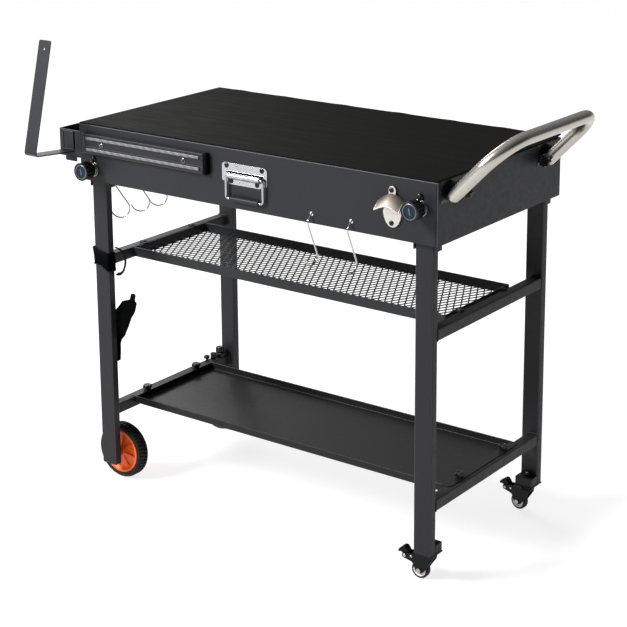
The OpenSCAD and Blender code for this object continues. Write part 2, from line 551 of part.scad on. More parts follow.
module strap_tail() { home() color(c_black) translate([0, -204, 0]) rotate([90, 0, 0]) linear_extrude(height = 2.4)
  polygon([[-371, 468], [-355, 472], [-362, 451], [-355, 449], [-364, 425], [-374, 409], [-381, 387], [-393, 364], [-409, 349], [-413, 339], [-411, 300], [-425, 294], [-428, 340], [-432, 380], [-425, 415], [-410, 431], [-400, 445], [-379, 452]]); }

// small clip and hand screws on the left low bar, behind the tray
module bar_clip() { home() color([0.25, 0.25, 0.26]) {
  translate([-452.8, 148.5, low_bar_z]) cylinder(h = 4, r = 3);
  translate([-452.8, 148.5, low_bar_z + 4]) star(7.5, 8, 6);
  box(-454, 163, low_bar_z, -443, 173, low_bar_z + 15);
  box(-455, 182, low_bar_z, -433, 202, low_bar_z + 10);
  translate([-446, 192, low_bar_z + 9]) star(11, 15, 6);
} }

table_shell();
top_mat();
leg_brackets();
pivot_bolts();
leg_left_front();
leg_left_back();
leg_right_front();
leg_right_back();
left_bars();
right_bars();
axle_stubs();
caster_blocks();
caster_mounts();
caddy_box();
towel_arm();
magnet_body();
magnet_strips();
panel_screws();
carry_plate();
bottle_opener();
push_brackets();
leg_strap();
strap_ring();
strap_tail();
bar_clip();
push_tube();
push_knob_front();
push_knob_back();
carry_bail();
carry_grip();
lock_knob_left_front();
lock_knob_left_back();
lock_knob_right_front();
lock_knob_right_back();
shelf_rails();
shelf_mesh();
shelf_tabs();
tray_pan();
tray_knob_a();
tray_knob_b();
tray_knob_c();
tray_knob_d();
tyre_front();
hub_front();
tyre_back();
hub_back();
fork_front();
pedal_front();
caster_tyre_front();
caster_rim_front();
fork_back();
pedal_back();
caster_tyre_back();
caster_rim_back();
hook_front_a();
hook_front_b();
hook_side_a();
hook_side_b();
hook_side_c();
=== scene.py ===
import bpy, bmesh, math, random
from mathutils import Vector, Matrix


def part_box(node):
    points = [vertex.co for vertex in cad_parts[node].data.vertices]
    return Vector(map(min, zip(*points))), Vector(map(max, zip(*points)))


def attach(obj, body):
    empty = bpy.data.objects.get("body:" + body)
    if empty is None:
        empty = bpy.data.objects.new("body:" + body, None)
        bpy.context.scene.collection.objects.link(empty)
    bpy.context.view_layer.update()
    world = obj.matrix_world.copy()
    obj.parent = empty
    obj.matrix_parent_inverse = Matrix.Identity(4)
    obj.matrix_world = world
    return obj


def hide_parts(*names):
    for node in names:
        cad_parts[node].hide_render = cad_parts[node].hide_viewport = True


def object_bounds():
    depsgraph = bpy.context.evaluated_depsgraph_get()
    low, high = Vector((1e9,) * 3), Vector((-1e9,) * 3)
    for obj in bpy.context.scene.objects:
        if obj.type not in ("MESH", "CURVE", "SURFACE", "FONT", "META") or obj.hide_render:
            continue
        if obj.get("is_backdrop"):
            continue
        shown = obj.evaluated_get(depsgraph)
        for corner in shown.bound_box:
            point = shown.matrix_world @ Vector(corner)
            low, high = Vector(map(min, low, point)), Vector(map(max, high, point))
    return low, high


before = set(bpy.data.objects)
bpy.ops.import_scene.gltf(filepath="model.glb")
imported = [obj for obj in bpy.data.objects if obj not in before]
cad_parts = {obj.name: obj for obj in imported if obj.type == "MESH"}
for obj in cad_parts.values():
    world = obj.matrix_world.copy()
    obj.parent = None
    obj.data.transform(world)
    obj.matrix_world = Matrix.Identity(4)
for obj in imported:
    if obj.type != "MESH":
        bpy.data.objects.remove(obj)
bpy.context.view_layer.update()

random.seed(7)

# table frame: millimetres, origin in the middle of the tabletop on the floor
_lo, _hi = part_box("top_mat")
TX, TY = (_lo.x + _hi.x) / 2, (_lo.y + _hi.y) / 2
TO_ROW = Matrix.Translation((TX, TY, 0)) @ Matrix.Scale(0.001, 4)


def P(x, y, z):
    return Vector((TX + x / 1000, TY + y / 1000, z / 1000))


# ---------------------------------------------------------------- camera
def camera():
    az, el, roll = math.radians(36.035), math.radians(13.538), math.radians(-0.253)
    back = Vector((math.sin(az) * math.cos(el), -math.cos(az) * math.cos(el), math.sin(el)))
    right = (-back).cross(Vector((0, 0, 1))).normalized()
    up = right.cross(-back)
    c, s = math.cos(roll), math.sin(roll)
    r0, r1 = c * right + s * up, -s * right + c * up
    cam = bpy.data.cameras.new("camera")
    ob = bpy.data.objects.new("camera", cam)
    bpy.context.scene.collection.objects.link(ob)
    m = Matrix((r0, r1, back)).transposed().to_4x4()
    m.translation = P(2169.673, -2916.578, 1667.470)
    ob.matrix_world = m
    cam.sensor_fit = "HORIZONTAL"
    cam.sensor_width = 36
    cam.lens = 1702.113 / 627 * 36
    cam.shift_x = (313.5 - 332.949) / 627
    cam.shift_y = (159.437 - 313.5) / 627
    cam.clip_end = 200
    bpy.context.scene.camera = ob


camera()


# ---------------------------------------------------------------- materials
def lin(r, g, b):
    f = lambda c: ((c / 255 + 0.055) / 1.055) ** 2.4 if c > 10 else c / 255 / 12.92
    return (f(r), f(g), f(b), 1)


def shade(c, k):
    return (min(c[0] * k, 1), min(c[1] * k, 1), min(c[2] * k, 1), 1)


class Mat:
    """A Principled material whose colour, roughness and bump come from noise in object space."""

    def __init__(self, name, rough=0.5, metal=0.0, spec=0.5, coat=0.0, coat_rough=0.1, sheen=0.0):
        self.m = bpy.data.materials.new(name)
        self.m.use_nodes = True
        self.t = self.m.node_tree
        self.b = self.t.nodes["Principled BSDF"]
        self.b.inputs["Roughness"].default_value = rough
        self.b.inputs["Metallic"].default_value = metal
        self.b.inputs["Specular IOR Level"].default_value = spec
        self.b.inputs["Coat Weight"].default_value = coat
        self.b.inputs["Coat Roughness"].default_value = coat_rough
        self.b.inputs["Sheen Weight"].default_value = sheen
        self.co = self.t.nodes.new("ShaderNodeTexCoord").outputs["Object"]

    def uv(self):
        self.co = self.t.nodes.new("ShaderNodeTexCoord").outputs["UV"]
        return self

    def n(self, kind, **props):
        node = self.t.nodes.new(kind)
        for k, v in props.items():
            setattr(node, k, v)
        return node

    def link(self, a, b):
        self.t.links.new(a, b)

    def noise(self, scale, detail=3, stretch=(1, 1, 1), rot=(0, 0, 0), rough=0.55):
        mp = self.n("ShaderNodeMapping")
        mp.inputs["Scale"].default_value = stretch
        mp.inputs["Rotation"].default_value = rot
        self.link(self.co, mp.inputs["Vector"])
        no = self.n("ShaderNodeTexNoise")
        no.inputs["Scale"].default_value = scale
        no.inputs["Detail"].default_value = detail
        no.inputs["Roughness"].default_value = rough
        self.link(mp.outputs[0], no.inputs["Vector"])
        return no.outputs["Fac"]

    def ramp(self, fac, stops):
        r = self.n("ShaderNodeValToRGB")
        e = r.color_ramp.elements
        while len(e) < len(stops):
            e.new(0.5)
        for el, (p, c) in zip(e, stops):
            el.position = p
            el.color = c if len(c) == 4 else (*c, 1)
        self.link(fac, r.inputs["Fac"])
        return r.outputs["Color"]

    def mix(self, fac, a, b, blend="MIX"):
        x = self.n("ShaderNodeMix", data_type="RGBA", blend_type=blend)
        for key, val in ((0, fac), (6, a), (7, b)):
            if isinstance(val, (int, float)):
                x.inputs[key].default_value = val
            elif isinstance(val, tuple):
                x.inputs[key].default_value = val
            else:
                self.link(val, x.inputs[key])
        return x.outputs[2]

    def edges(self, amount=0.75):
        """Mask for a painted edge highlight: 1 on the rounded edges of an upright, squared part, 0 on its flat faces.
        """
        no = self.n("ShaderNodeTexCoord").outputs["Normal"]
        ab = self.n("ShaderNodeVectorMath", operation="ABSOLUTE")
        self.link(no, ab.inputs[0])
        sp = self.n("ShaderNodeSeparateXYZ")
        self.link(ab.outputs[0], sp.inputs[0])
        m1, m2 = self.n("ShaderNodeMath", operation="MAXIMUM"), self.n("ShaderNodeMath", operation="MAXIMUM")
        self.link(sp.outputs["X"], m1.inputs[0])
        self.link(sp.outputs["Y"], m1.inputs[1])
        self.link(m1.outputs[0], m2.inputs[0])
        self.link(sp.outputs["Z"], m2.inputs[1])
        r = self.n("ShaderNodeMapRange")
        r.inputs["From Min"].default_value = 0.78
        r.inputs["From Max"].default_value = 0.97
        r.inputs["To Min"].default_value = amount
        r.inputs["To Max"].default_value = 0.0
        self.link(m2.outputs[0], r.inputs["Value"])
        return r.outputs[0]

    def color(self, out):
        if isinstance(out, tuple):
            self.b.inputs["Base Color"].default_value = out
        else:
            self.link(out, self.b.inputs["Base Color"])
        return self

    def rough(self, fac, lo, hi):
        r = self.n("ShaderNodeMapRange")
        r.inputs["From Min"].default_value = 0.3
        r.inputs["From Max"].default_value = 0.7
        r.inputs["To Min"].default_value = lo
        r.inputs["To Max"].default_value = hi
        self.link(fac, r.inputs["Value"])
        self.link(r.outputs[0], self.b.inputs["Roughness"])
        return self

    def bump(self, fac, strength=0.3, dist=0.0003):
        bp = self.n("ShaderNodeBump")
        bp.inputs["Strength"].default_value = strength
        bp.inputs["Distance"].default_value = dist
        self.link(fac, bp.inputs["Height"])
        if getattr(self, "_normal", None):
            self.link(self._normal, bp.inputs["Normal"])
        self._normal = bp.outputs[0]
        self.link(self._normal, self.b.inputs["Normal"])
        return self


def powder(name, col, rough=0.5, spec=0.35, grain=1400, strength=0.25, edge=None):
    a = Mat(name, rough, spec=spec)
    big = a.noise(5, 3)
    fine = a.noise(grain, 2)
    mid = a.noise(90, 3)
    c = a.ramp(big, [(0.3, shade(col, 0.9)), (0.7, shade(col, 1.1))])
    c = a.mix(a.ramp(fine, [(0.4, (0.25, 0.25, 0.25)), (0.75, (0, 0, 0))]), c, shade(col, 0.7))
    # edge: colour of a painted highlight laid on the rounded edges
    if edge:
        c = a.mix(a.edges(), c, edge)
    a.color(c).rough(mid, rough - 0.05, rough + 0.07).bump(fine, strength, 0.00025)
    return a.m


def plastic(name, col, rough=0.42, spec=0.45, grain=900, strength=0.12, edge=None):
    a = Mat(name, rough, spec=spec)
    fine, big = a.noise(grain, 2), a.noise(22, 3)
    c = a.ramp(big, [(0.3, shade(col, 0.85)), (0.72, shade(col, 1.2))])
    # edge: colour of a painted highlight laid on the rounded edges
    if edge:
        c = a.mix(a.edges(), c, edge)
    a.color(c).rough(big, rough - 0.07, rough + 0.09).bump(fine, strength, 0.0002)
    return a.m


def metal(name, col, rough=0.25, grain=260, stretch=(1, 1, 1), strength=0.06, var=0.06, rot=(0, 0, 0)):
    a = Mat(name, rough, metal=1.0)
    fine = a.noise(grain, 4, stretch, rot)
    big = a.noise(14, 3)
    c = a.ramp(fine, [(0.3, shade(col, 1 - var)), (0.7, shade(col, 1 + var))])
    c = a.mix(a.ramp(big, [(0.4, (0, 0, 0)), (0.8, (0.35, 0.35, 0.35))]), c, shade(col, 0.86))
    a.color(c).rough(big, rough * 0.82, rough * 1.25).bump(fine, strength, 0.0001)
    return a.m


# The edge= colours on the frame, legs, shelf, tray and magnet bar are painted highlights along their rounded edges.
FRAME = powder("powder_frame", lin(34, 35, 39), 0.46, spec=0.2, edge=lin(104, 105, 108))
LEG = powder("powder_legs", lin(33, 33, 35), 0.46, spec=0.2, edge=lin(70, 70, 72))
SHELF = powder("powder_shelf", lin(33, 34, 37), 0.44, spec=0.22, edge=lin(96, 97, 99))
TRAY = powder("powder_tray", lin(29, 29, 30), 0.36, spec=0.16, grain=1100, strength=0.08, edge=lin(46, 46, 48))
BLACK = plastic("plastic_black", lin(12, 12, 13), 0.4, spec=0.3)
BAR = plastic("plastic_bar", lin(30, 30, 33), 0.4, spec=0.25, edge=lin(96, 97, 100))
PEDAL = plastic("plastic_pedal", lin(3, 4, 6), 0.3, spec=0.16)
BLACK_GLOSS = plastic("plastic_swivel", lin(3, 3, 4), 0.28, spec=0.18)
CAP = plastic("plastic_cap", lin(3, 3, 4), 0.6, spec=0.04)
BLACK_SATIN = plastic("plastic_knob_rib", lin(11, 11, 13), 0.34, spec=0.35)
BLACK_METAL = powder("metal_black", lin(12, 12, 13), 0.3, spec=0.4, strength=0.12)
SCREW_DARK = metal("metal_screw_dark", lin(52, 52, 52), 0.3, grain=500)
ZINC = metal("metal_zinc", lin(168, 168, 165), 0.26, grain=400)
CHROME = metal("metal_chrome", lin(168, 171, 174), 0.2, grain=60, strength=0.06, var=0.03)
WIRE = metal("metal_wire", lin(186, 184, 180), 0.16, grain=90, strength=0.03, var=0.05)
NICKEL = metal("metal_nickel", lin(198, 194, 186), 0.42, grain=30, stretch=(1, 1, 26), strength=0.12, var=0.09)
NICKEL_BRUSHED = metal("metal_nickel_brushed", lin(140, 131, 121), 0.62, grain=420, strength=0.25, var=0.14)
GRIP = plastic("rubber_grip", lin(26, 26, 27), 0.55, spec=0.3)
RIM_WHITE = plastic("plastic_caster_rim", lin(216, 212, 204), 0.4)
DISC = metal("knob_disc", lin(44, 53, 68), 0.36, grain=300, strength=0.03)
RING = metal("knob_ring", lin(112, 120, 130), 0.28, grain=300, strength=0.03)


def mat_top():
    a = Mat("mat_surface", 0.75, spec=0.02)
    streak = a.noise(9, 6, (1, 26, 26), rot=(0, 0, 0.03), rough=0.62)
    fine = a.noise(60, 4, (1, 14, 14), rot=(0, 0, -0.02), rough=0.6)
    big = a.noise(3.2, 3)
    grain = a.noise(1500, 2)
    base = lin(18, 17.2, 16)
    c = a.ramp(streak, [(0.3, shade(base, 0.62)), (0.5, shade(base, 1.0)), (0.68, shade(base, 1.45))])
    c = a.mix(0.45, c, a.ramp(fine, [(0.35, shade(base, 0.6)), (0.7, shade(base, 1.5))]))
    c = a.mix(a.ramp(big, [(0.35, (0.3, 0.3, 0.3)), (0.7, (0, 0, 0))]), c, shade(base, 0.72))
    a.color(c).rough(streak, 0.52, 0.72).bump(streak, 0.35, 0.0006).bump(grain, 0.25, 0.0002)
    return a.m


def brushed_tube():
    a = Mat("steel_brushed_tube", 0.25, metal=1.0).uv()
    col = lin(186, 182, 175)
    around = a.noise(1, 5, (14, 900, 1), rough=0.7)
    along = a.noise(1, 4, (55, 5, 1))
    c = a.ramp(around, [(0.25, shade(col, 0.84)), (0.75, shade(col, 1.1))])
    c = a.mix(a.ramp(along, [(0.4, (0, 0, 0)), (0.8, (0.3, 0.3, 0.3))]), c, shade(col, 0.84))
    a.color(c).rough(around, 0.22, 0.34).bump(around, 0.1, 0.0001)
    return a.m


def tyre_rubber():
    a = Mat("rubber_tyre", 0.62, spec=0.28)
    col = lin(11, 12, 14)
    big, fine = a.noise(40, 4), a.noise(700, 3)
    c = a.ramp(big, [(0.3, shade(col, 0.75)), (0.7, shade(col, 1.4))])
    c = a.mix(a.ramp(fine, [(0.55, (0, 0, 0)), (0.8, (0.4, 0.4, 0.4))]), c, lin(36, 36, 36))
    a.color(c).rough(big, 0.55, 0.8).bump(fine, 0.3, 0.0003)
    return a.m


def hub_orange():
    a = Mat("plastic_hub_orange", 0.42, spec=0.3)
    col = lin(238, 100, 26)
    big, fine = a.noise(28, 3), a.noise(500, 2)
    a.color(a.ramp(big, [(0.3, lin(228, 88, 20)), (0.6, col), (0.8, lin(246, 122, 40))])).rough(big, 0.32, 0.48).bump(fine, 0.12, 0.0002)
    return a.m


def webbing():
    a = Mat("webbing_black", 0.85, spec=0.02)
    col = (0.0013, 0.0014, 0.0015, 1)
    w = a.n("ShaderNodeTexWave", wave_type="BANDS", bands_direction="DIAGONAL")
    w.inputs["Scale"].default_value = 420
    w.inputs["Distortion"].default_value = 0.6
    a.link(a.co, w.inputs["Vector"])
    big = a.noise(60, 3)
    c = a.ramp(w.outputs["Fac"], [(0.2, shade(col, 0.6)), (0.8, shade(col, 1.5))])
    a.color(c).rough(big, 0.65, 0.85).bump(w.outputs["Fac"], 0.5, 0.0004)
    return a.m


def strip_metal():
    a = Mat("steel_strip", 0.42, metal=0.3, spec=0.3)
    w = a.n("ShaderNodeTexWave", wave_type="BANDS", bands_direction="X", wave_profile="SIN")
    w.inputs["Scale"].default_value = 24
    w.inputs["Distortion"].default_value = 0.5
    mp = a.n("ShaderNodeMapping")
    mp.inputs["Rotation"].default_value = (0, 0.9, 0)
    a.link(a.co, mp.inputs["Vector"])
    a.link(mp.outputs[0], w.inputs["Vector"])
    fine = a.noise(300, 3, (1, 8, 8))
    c = a.ramp(w.outputs["Fac"], [(0.2, lin(98, 98, 101)), (0.8, lin(122, 122, 125))])
    c = a.mix(0.2, c, a.ramp(fine, [(0.3, lin(100, 100, 100)), (0.7, lin(126, 126, 126))]))
    a.color(c).rough(fine, 0.36, 0.48).bump(w.outputs["Fac"], 0.1, 0.0003)
    return a.m


def webbing_band():
    """The band round the leg: black weave that catches more light towards its top edge."""
    a = Mat("webbing_band", 0.85, spec=0.03)
    sep = a.n("ShaderNodeSeparateXYZ")
    a.link(a.co, sep.inputs[0])
    up = a.n("ShaderNodeMapRange")
    for k, v in (("From Min", 0.538), ("From Max", 0.572), ("To Min", 0.0), ("To Max", 1.0)):
        up.inputs[k].default_value = v
    a.link(sep.outputs["Z"], up.inputs["Value"])
    fine = a.noise(900, 2)
    c = a.ramp(up.outputs[0], [(0.1, lin(2, 2, 3)), (0.55, lin(6, 7, 9)), (0.98, lin(22, 23, 26))])
    c = a.mix(a.ramp(fine, [(0.45, (0, 0, 0)), (0.75, (0.3, 0.3, 0.3))]), c, lin(3, 3, 4))
    a.color(c).rough(fine, 0.75, 0.9).bump(fine, 0.3, 0.0003)
    return a.m


WEB_BAND = webbing_band()
# HEM is the strap's black webbing painted lighter grey: a painted highlight on its rolled lower edge.
HEM = powder("webbing_hem", lin(38, 39, 42), 0.6, spec=0.12, grain=1400, strength=0.4)
LOOP = powder("webbing_loop", lin(16, 17, 19), 0.6, spec=0.12, grain=1400, strength=0.4)
MATTOP, TUBE, TYRE, HUB, WEB, STRIP = mat_top(), brushed_tube(), tyre_rubber(), hub_orange(), webbing(), strip_metal()


# ---------------------------------------------------------------- mesh helpers, all in table millimetres
def put(dst, src, m=None):
    """Adds bmesh src to dst and frees it."""
    me = bpy.data.meshes.new("tmp")
    src.to_mesh(me)
    if m is not None:
        me.transform(m)
        if m.to_3x3().determinant() < 0:
            me.flip_normals()
    dst.from_mesh(me)
    bpy.data.meshes.remove(me)
    src.free()
    return dst


def group(*parts):
    bm = bmesh.new()
    for p in parts:
        put(bm, p)
    return bm


def moved(bm, x=0, y=0, z=0, rx=0, ry=0, rz=0):
    m = Matrix.Translation((x, y, z)) @ Matrix.Rotation(math.radians(rz), 4, "Z") @ Matrix.Rotation(math.radians(ry), 4, "Y") @ Matrix.Rotation(math.radians(rx), 4, "X")
    bmesh.ops.transform(bm, matrix=m, verts=bm.verts)
    return bm


def mirrored_y(bm):
    bmesh.ops.transform(bm, matrix=Matrix.Scale(-1, 4, (0, 1, 0)), verts=bm.verts)
    bmesh.ops.reverse_faces(bm, faces=bm.faces)
    return bm


def bevel(bm, r, seg=2, keep=None, angle=25):
    es = [e for e in bm.edges if len(e.link_faces) == 2 and e.calc_face_angle(0) > math.radians(angle) and (keep is None or keep(e))]
    if es and r > 0:
        bmesh.ops.bevel(bm, geom=es, offset=r, offset_type="OFFSET", segments=seg, profile=0.5, affect="EDGES", clamp_overlap=True)
    return bm


def rbox(x1, y1, z1, x2, y2, z2, r=1.0, seg=2, keep=None):
    bm = bmesh.new()
    bmesh.ops.create_cube(bm, size=1)
    m = Matrix.Translation(((x1 + x2) / 2, (y1 + y2) / 2, (z1 + z2) / 2)) @ Matrix.Diagonal((abs(x2 - x1), abs(y2 - y1), abs(z2 - z1), 1))
    bmesh.ops.transform(bm, matrix=m, verts=bm.verts)
    return bevel(bm, r, seg, keep)


def along(axis):
    return lambda e: abs((e.verts[1].co - e.verts[0].co).normalized()["xyz".index(axis)]) > 0.99


def prism(pts, axis, a, b, r=0.0, seg=2):
    """Polygon in the plane across axis, extruded from a to b. For x the points are (y, z), for y (x, z), for z (x, y)."""
    def at(p, t):
        return {"x": (t, p[0], p[1]), "y": (p[0], t, p[1]), "z": (p[0], p[1], t)}[axis]
    bm = bmesh.new()
    va = [bm.verts.new(at(p, a)) for p in pts]
    vb = [bm.verts.new(at(p, b)) for p in pts]
    bm.faces.new(va)
    bm.faces.new(vb[::-1])
    n = len(pts)
    for i in range(n):
        bm.faces.new((va[i], vb[i], vb[(i + 1) % n], va[(i + 1) % n]))
    bmesh.ops.recalc_face_normals(bm, faces=bm.faces)
    return bevel(bm, r, seg)


def basis(axis):
    w = Vector(axis).normalized()
    u = w.orthogonal().normalized()
    if abs(w.z) < 0.9:
        u = Vector((0, 0, 1)).cross(w).normalized()
    else:
        u = Vector((1, 0, 0))
        u = (u - w * u.dot(w)).normalized()
    return u, w.cross(u), w


def revolve(profile, origin, axis, n=64, closed=False, warp=None):
    """Turns (r, t) points about axis; t runs along it from origin. warp(r, t, angle, k) may move a point."""
    u, v, w = basis(axis)
    o = Vector(origin)
    bm = bmesh.new()
    rings = []
    for k, (r, t) in enumerate(profile):
        if r < 1e-6:
            rings.append([bm.verts.new(o + w * t)])
            continue
        ring = []
        for i in range(n):
            a = 2 * math.pi * i / n
            rr, tt = (r, t) if warp is None else warp(r, t, a, k)
            ring.append(bm.verts.new(o + u * (rr * math.cos(a)) + v * (rr * math.sin(a)) + w * tt))
        rings.append(ring)
    m = len(rings)
    for k in range(m if closed else m - 1):
        a, b = rings[k], rings[(k + 1) % m]
        for i in range(n):
            j = (i + 1) % n
            if len(a) == 1 and len(b) == 1:
                continue
            if len(a) == 1:
                bm.faces.new((a[0], b[i], b[j]))
            elif len(b) == 1:
                bm.faces.new((a[i], b[0], a[j]))
            else:
                bm.faces.new((a[i], b[i], b[j], a[j]))
    if not closed:
        for ring, flip in ((rings[0], True), (rings[-1], False)):
            if len(ring) > 2:
                bm.faces.new(ring if not flip else ring[::-1])
    bmesh.ops.recalc_face_normals(bm, faces=bm.faces)
    return bm


def fillet(pts, r, seg=8):
    """Rounds the inner corners of a polyline. r is one radius or one for each inner corner."""
    pts = [Vector(p) for p in pts]
    out = [pts[0]]
    for i in range(1, len(pts) - 1):
        rr = r[i - 1] if isinstance(r, (list, tuple)) else r
        a, b, c = pts[i - 1], pts[i], pts[i + 1]
        d1, d2 = (a - b).normalized(), (c - b).normalized()
        ang = d1.angle(d2)
        if rr <= 0 or ang > math.pi - 1e-3:
            out.append(b)
            continue
        t = rr / math.tan(ang / 2)
        centre = b + (d1 + d2).normalized() * (rr / math.sin(ang / 2))
        p, q = b + d1 * t - centre, b + d2 * t - centre
        turn = p.angle(q)
        ax = p.cross(q).normalized()
        for k in range(seg + 1):
            out.append(centre + Matrix.Rotation(turn * k / seg, 3, ax) @ p)
    out.append(pts[-1])
    return out


def resample(pts, step):
    out = [pts[0]]
    for a, b in zip(pts, pts[1:]):
        k = max(1, int((b - a).length / step))
        out += [a.lerp(b, (i + 1) / k) for i in range(k)]
    return out


def sweep(pts, section, up=None, caps=True, loop=False, uv=False):
    """Sweeps a closed section, a list of (a, b), along pts. section may be a function of (index, distance)."""
    pts = [Vector(p) for p in pts]
    n = len(pts)
    tang = []
    for i in range(n):
        a = pts[i - 1] if i > 0 else (pts[-1] if loop else pts[0])
        b = pts[i + 1] if i < n - 1 else (pts[0] if loop else pts[-1])
        tang.append((b - a).normalized())
    u = Vector(up) if up is not None else tang[0].orthogonal()
    u = (u - tang[0] * u.dot(tang[0])).normalized()
    bm = bmesh.new()
    lay = bm.loops.layers.uv.new("UVMap") if uv else None
    rings, dist, d = [], [], 0
    for i in range(n):
        if i:
            d += (pts[i] - pts[i - 1]).length
            u = (u - tang[i] * u.dot(tang[i])).normalized()
        dist.append(d)
        v = tang[i].cross(u)
        sec = section(i, d) if callable(section) else section
        rings.append([bm.verts.new(pts[i] + u * a + v * b) for a, b in sec])
    m = len(rings[0])
    for i in range(n if loop else n - 1):
        a, b = rings[i], rings[(i + 1) % n]
        for j in range(m):
            k = (j + 1) % m
            f = bm.faces.new((a[j], b[j], b[k], a[k]))
            if uv:
                for lp, (x, y) in zip(f.loops, ((dist[i], j), (dist[(i + 1) % n], j), (dist[(i + 1) % n], j + 1), (dist[i], j + 1))):
                    lp[lay].uv = (x / 1000, y / m)
    if caps and not loop:
        bm.faces.new(rings[0])
        bm.faces.new(rings[-1][::-1])
    bmesh.ops.recalc_face_normals(bm, faces=bm.faces)
    return bm


def circle(r, n=16):
    return [(r * math.cos(2 * math.pi * i / n), r * math.sin(2 * math.pi * i / n)) for i in range(n)]


def wire(pts, r, n=12, uv=False, up=None):
    """Round wire with softly rounded ends."""
    pts = [Vector(p) for p in pts]
    a, b = (pts[0] - pts[1]).normalized(), (pts[-1] - pts[-2]).normalized()
    path = [pts[0] + a * r * 0.45, pts[0] + a * r * 0.3] + pts + [pts[-1] + b * r * 0.3, pts[-1] + b * r * 0.45]
    last = len(path) - 1
    def sec(i, d):
        k = {0: 0.35, 1: 0.75, last - 1: 0.75, last: 0.35}.get(i, 1.0)
        return circle(r * k, n)
    return sweep(path, sec, up=up, uv=uv)


def boolean(bm, cutters, op="DIFFERENCE"):
    """Cuts bmeshes from bm and returns a new bmesh."""
    def ob(b, name):
        me = bpy.data.meshes.new(name)
        b.to_mesh(me)
        b.free()
        o = bpy.data.objects.new(name, me)
        bpy.context.scene.collection.objects.link(o)
        return o
    base = ob(bm, "bool_base")
    cut = [ob(c, "bool_cut") for c in cutters]
    for c in cut:
        md = base.modifiers.new("b", "BOOLEAN")
        md.operation = op
        md.solver = "EXACT"
        md.object = c
    dg = bpy.context.evaluated_depsgraph_get()
    me = bpy.data.meshes.new_from_object(base.evaluated_get(dg))
    out = bmesh.new()
    out.from_mesh(me)
    for o in [base] + cut:
        m = o.data
        bpy.data.objects.remove(o)
        bpy.data.meshes.remove(m)
    bpy.data.meshes.remove(me)
    return out


def make(name, bm, body, mat, replaces=(), smooth=38, weighted=True):
    """The finished piece: moves the mesh to metres in the row frame, shades it and rides it on its body."""
    bmesh.ops.remove_doubles(bm, verts=bm.verts, dist=0.002)
    bmesh.ops.recalc_face_normals(bm, faces=bm.faces)
    me = bpy.data.meshes.new(name)
    bm.to_mesh(me)
    bm.free()
    me.transform(TO_ROW)
    me.polygons.foreach_set("use_smooth", [True] * len(me.polygons))
    me.set_sharp_from_angle(angle=math.radians(smooth))
    o = bpy.data.objects.new(name, me)
    bpy.context.scene.collection.objects.link(o)
    me.materials.append(mat)
    if weighted:
        w = o.modifiers.new("normals", "WEIGHTED_NORMAL")
        w.keep_sharp = True
        w.weight = 80
    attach(o, body)
    if replaces:
        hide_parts(*([replaces] if isinstance(replaces, str) else replaces))
    return o


def paint(node, mat):
    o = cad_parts[node]
    o.data.materials.clear()
    o.data.materials.append(mat)


def screw(x, y, z, r, h, cross=True):
    """Pan-head screw facing -Y with a cross recess."""
    prof = [(0, 0), (r, 0), (r * 1.0, h * 0.25), (r * 0.9, h * 0.62), (r * 0.62, h * 0.92), (r * 0.3, h), (0, h)]
    bm = revolve(prof, (x, y, z), (0, -1, 0), 28)
    if cross:
        d = r * 0.56
        c1 = rbox(x - d, y - h - 1, z - r * 0.13, x + d, y - h * 0.45, z + r * 0.13, 0)
        c2 = rbox(x - r * 0.13, y - h - 1, z - d, x + r * 0.13, y - h * 0.45, z + d, 0)
        bm = boolean(bm, [c1, c2])
    return bm


# ---------------------------------------------------------------- shared sizes, from the part's source
HX, HY = 475.0, 245.0
PIVOT = {-1: 782.0, 1: 827.0}
LOCK_X = {-1: -438.0, 1: 434.0}


def rrect(w, h, r, seg=4, cx=0.0, cy=0.0):
    out = []
    for sx, sy, a0 in ((1, 1, 0), (-1, 1, 90), (-1, -1, 180), (1, -1, 270)):
        for k in range(seg + 1):
            a = math.radians(a0 + 90 * k / seg)
            out.append((cx + sx * (w / 2 - r) + r * math.cos(a), cy + sy * (h / 2 - r) + r * math.sin(a)))
    return out


def cyl(p, axis, length, r, n=32, chamfer=0.0):
    c = chamfer
    prof = [(r - c, 0), (r, c), (r, length - c), (r - c, length)] if c else [(r, 0), (r, length)]
    return revolve(prof, p, axis, n)


def hexnut(p, axis, length, r, chamfer=1.0, hole=0.0, spin=0.0):
    """Hex nut, corners at r, with the corner chamfer cut on both faces."""
    u, v, w = basis(axis)
    o = Vector(p)
    bm = bmesh.new()
    pts = [u * (r * math.cos(math.radians(60 * i + spin))) + v * (r * math.sin(math.radians(60 * i + spin))) for i in range(6)]
    va = [bm.verts.new(o + q) for q in pts]
    vb = [bm.verts.new(o + q + w * length) for q in pts]
    bm.faces.new(va)
    bm.faces.new(vb[::-1])
    for i in range(6):
        bm.faces.new((va[i], vb[i], vb[(i + 1) % 6], va[(i + 1) % 6]))
    bmesh.ops.recalc_face_normals(bm, faces=bm.faces)
    cone = revolve([(r * 0.9, 0), (r * 1.01, chamfer), (r * 1.01, length - chamfer), (r * 0.9, length)], p, axis, 36)
    return boolean(bm, [cone], "INTERSECT")


def lobes(n, depth, lo, hi):
    """warp for revolve: soft lobes on the profile points whose distance along the axis is between lo and hi."""
    def f(r, t, a, k):
        if lo <= t <= hi:
            return r * (1 - depth / 2 + depth / 2 * math.cos(n * a)), t
        return r, t
    return f


def mirror_if(bm, sy):
    return mirrored_y(bm) if sy > 0 else bm


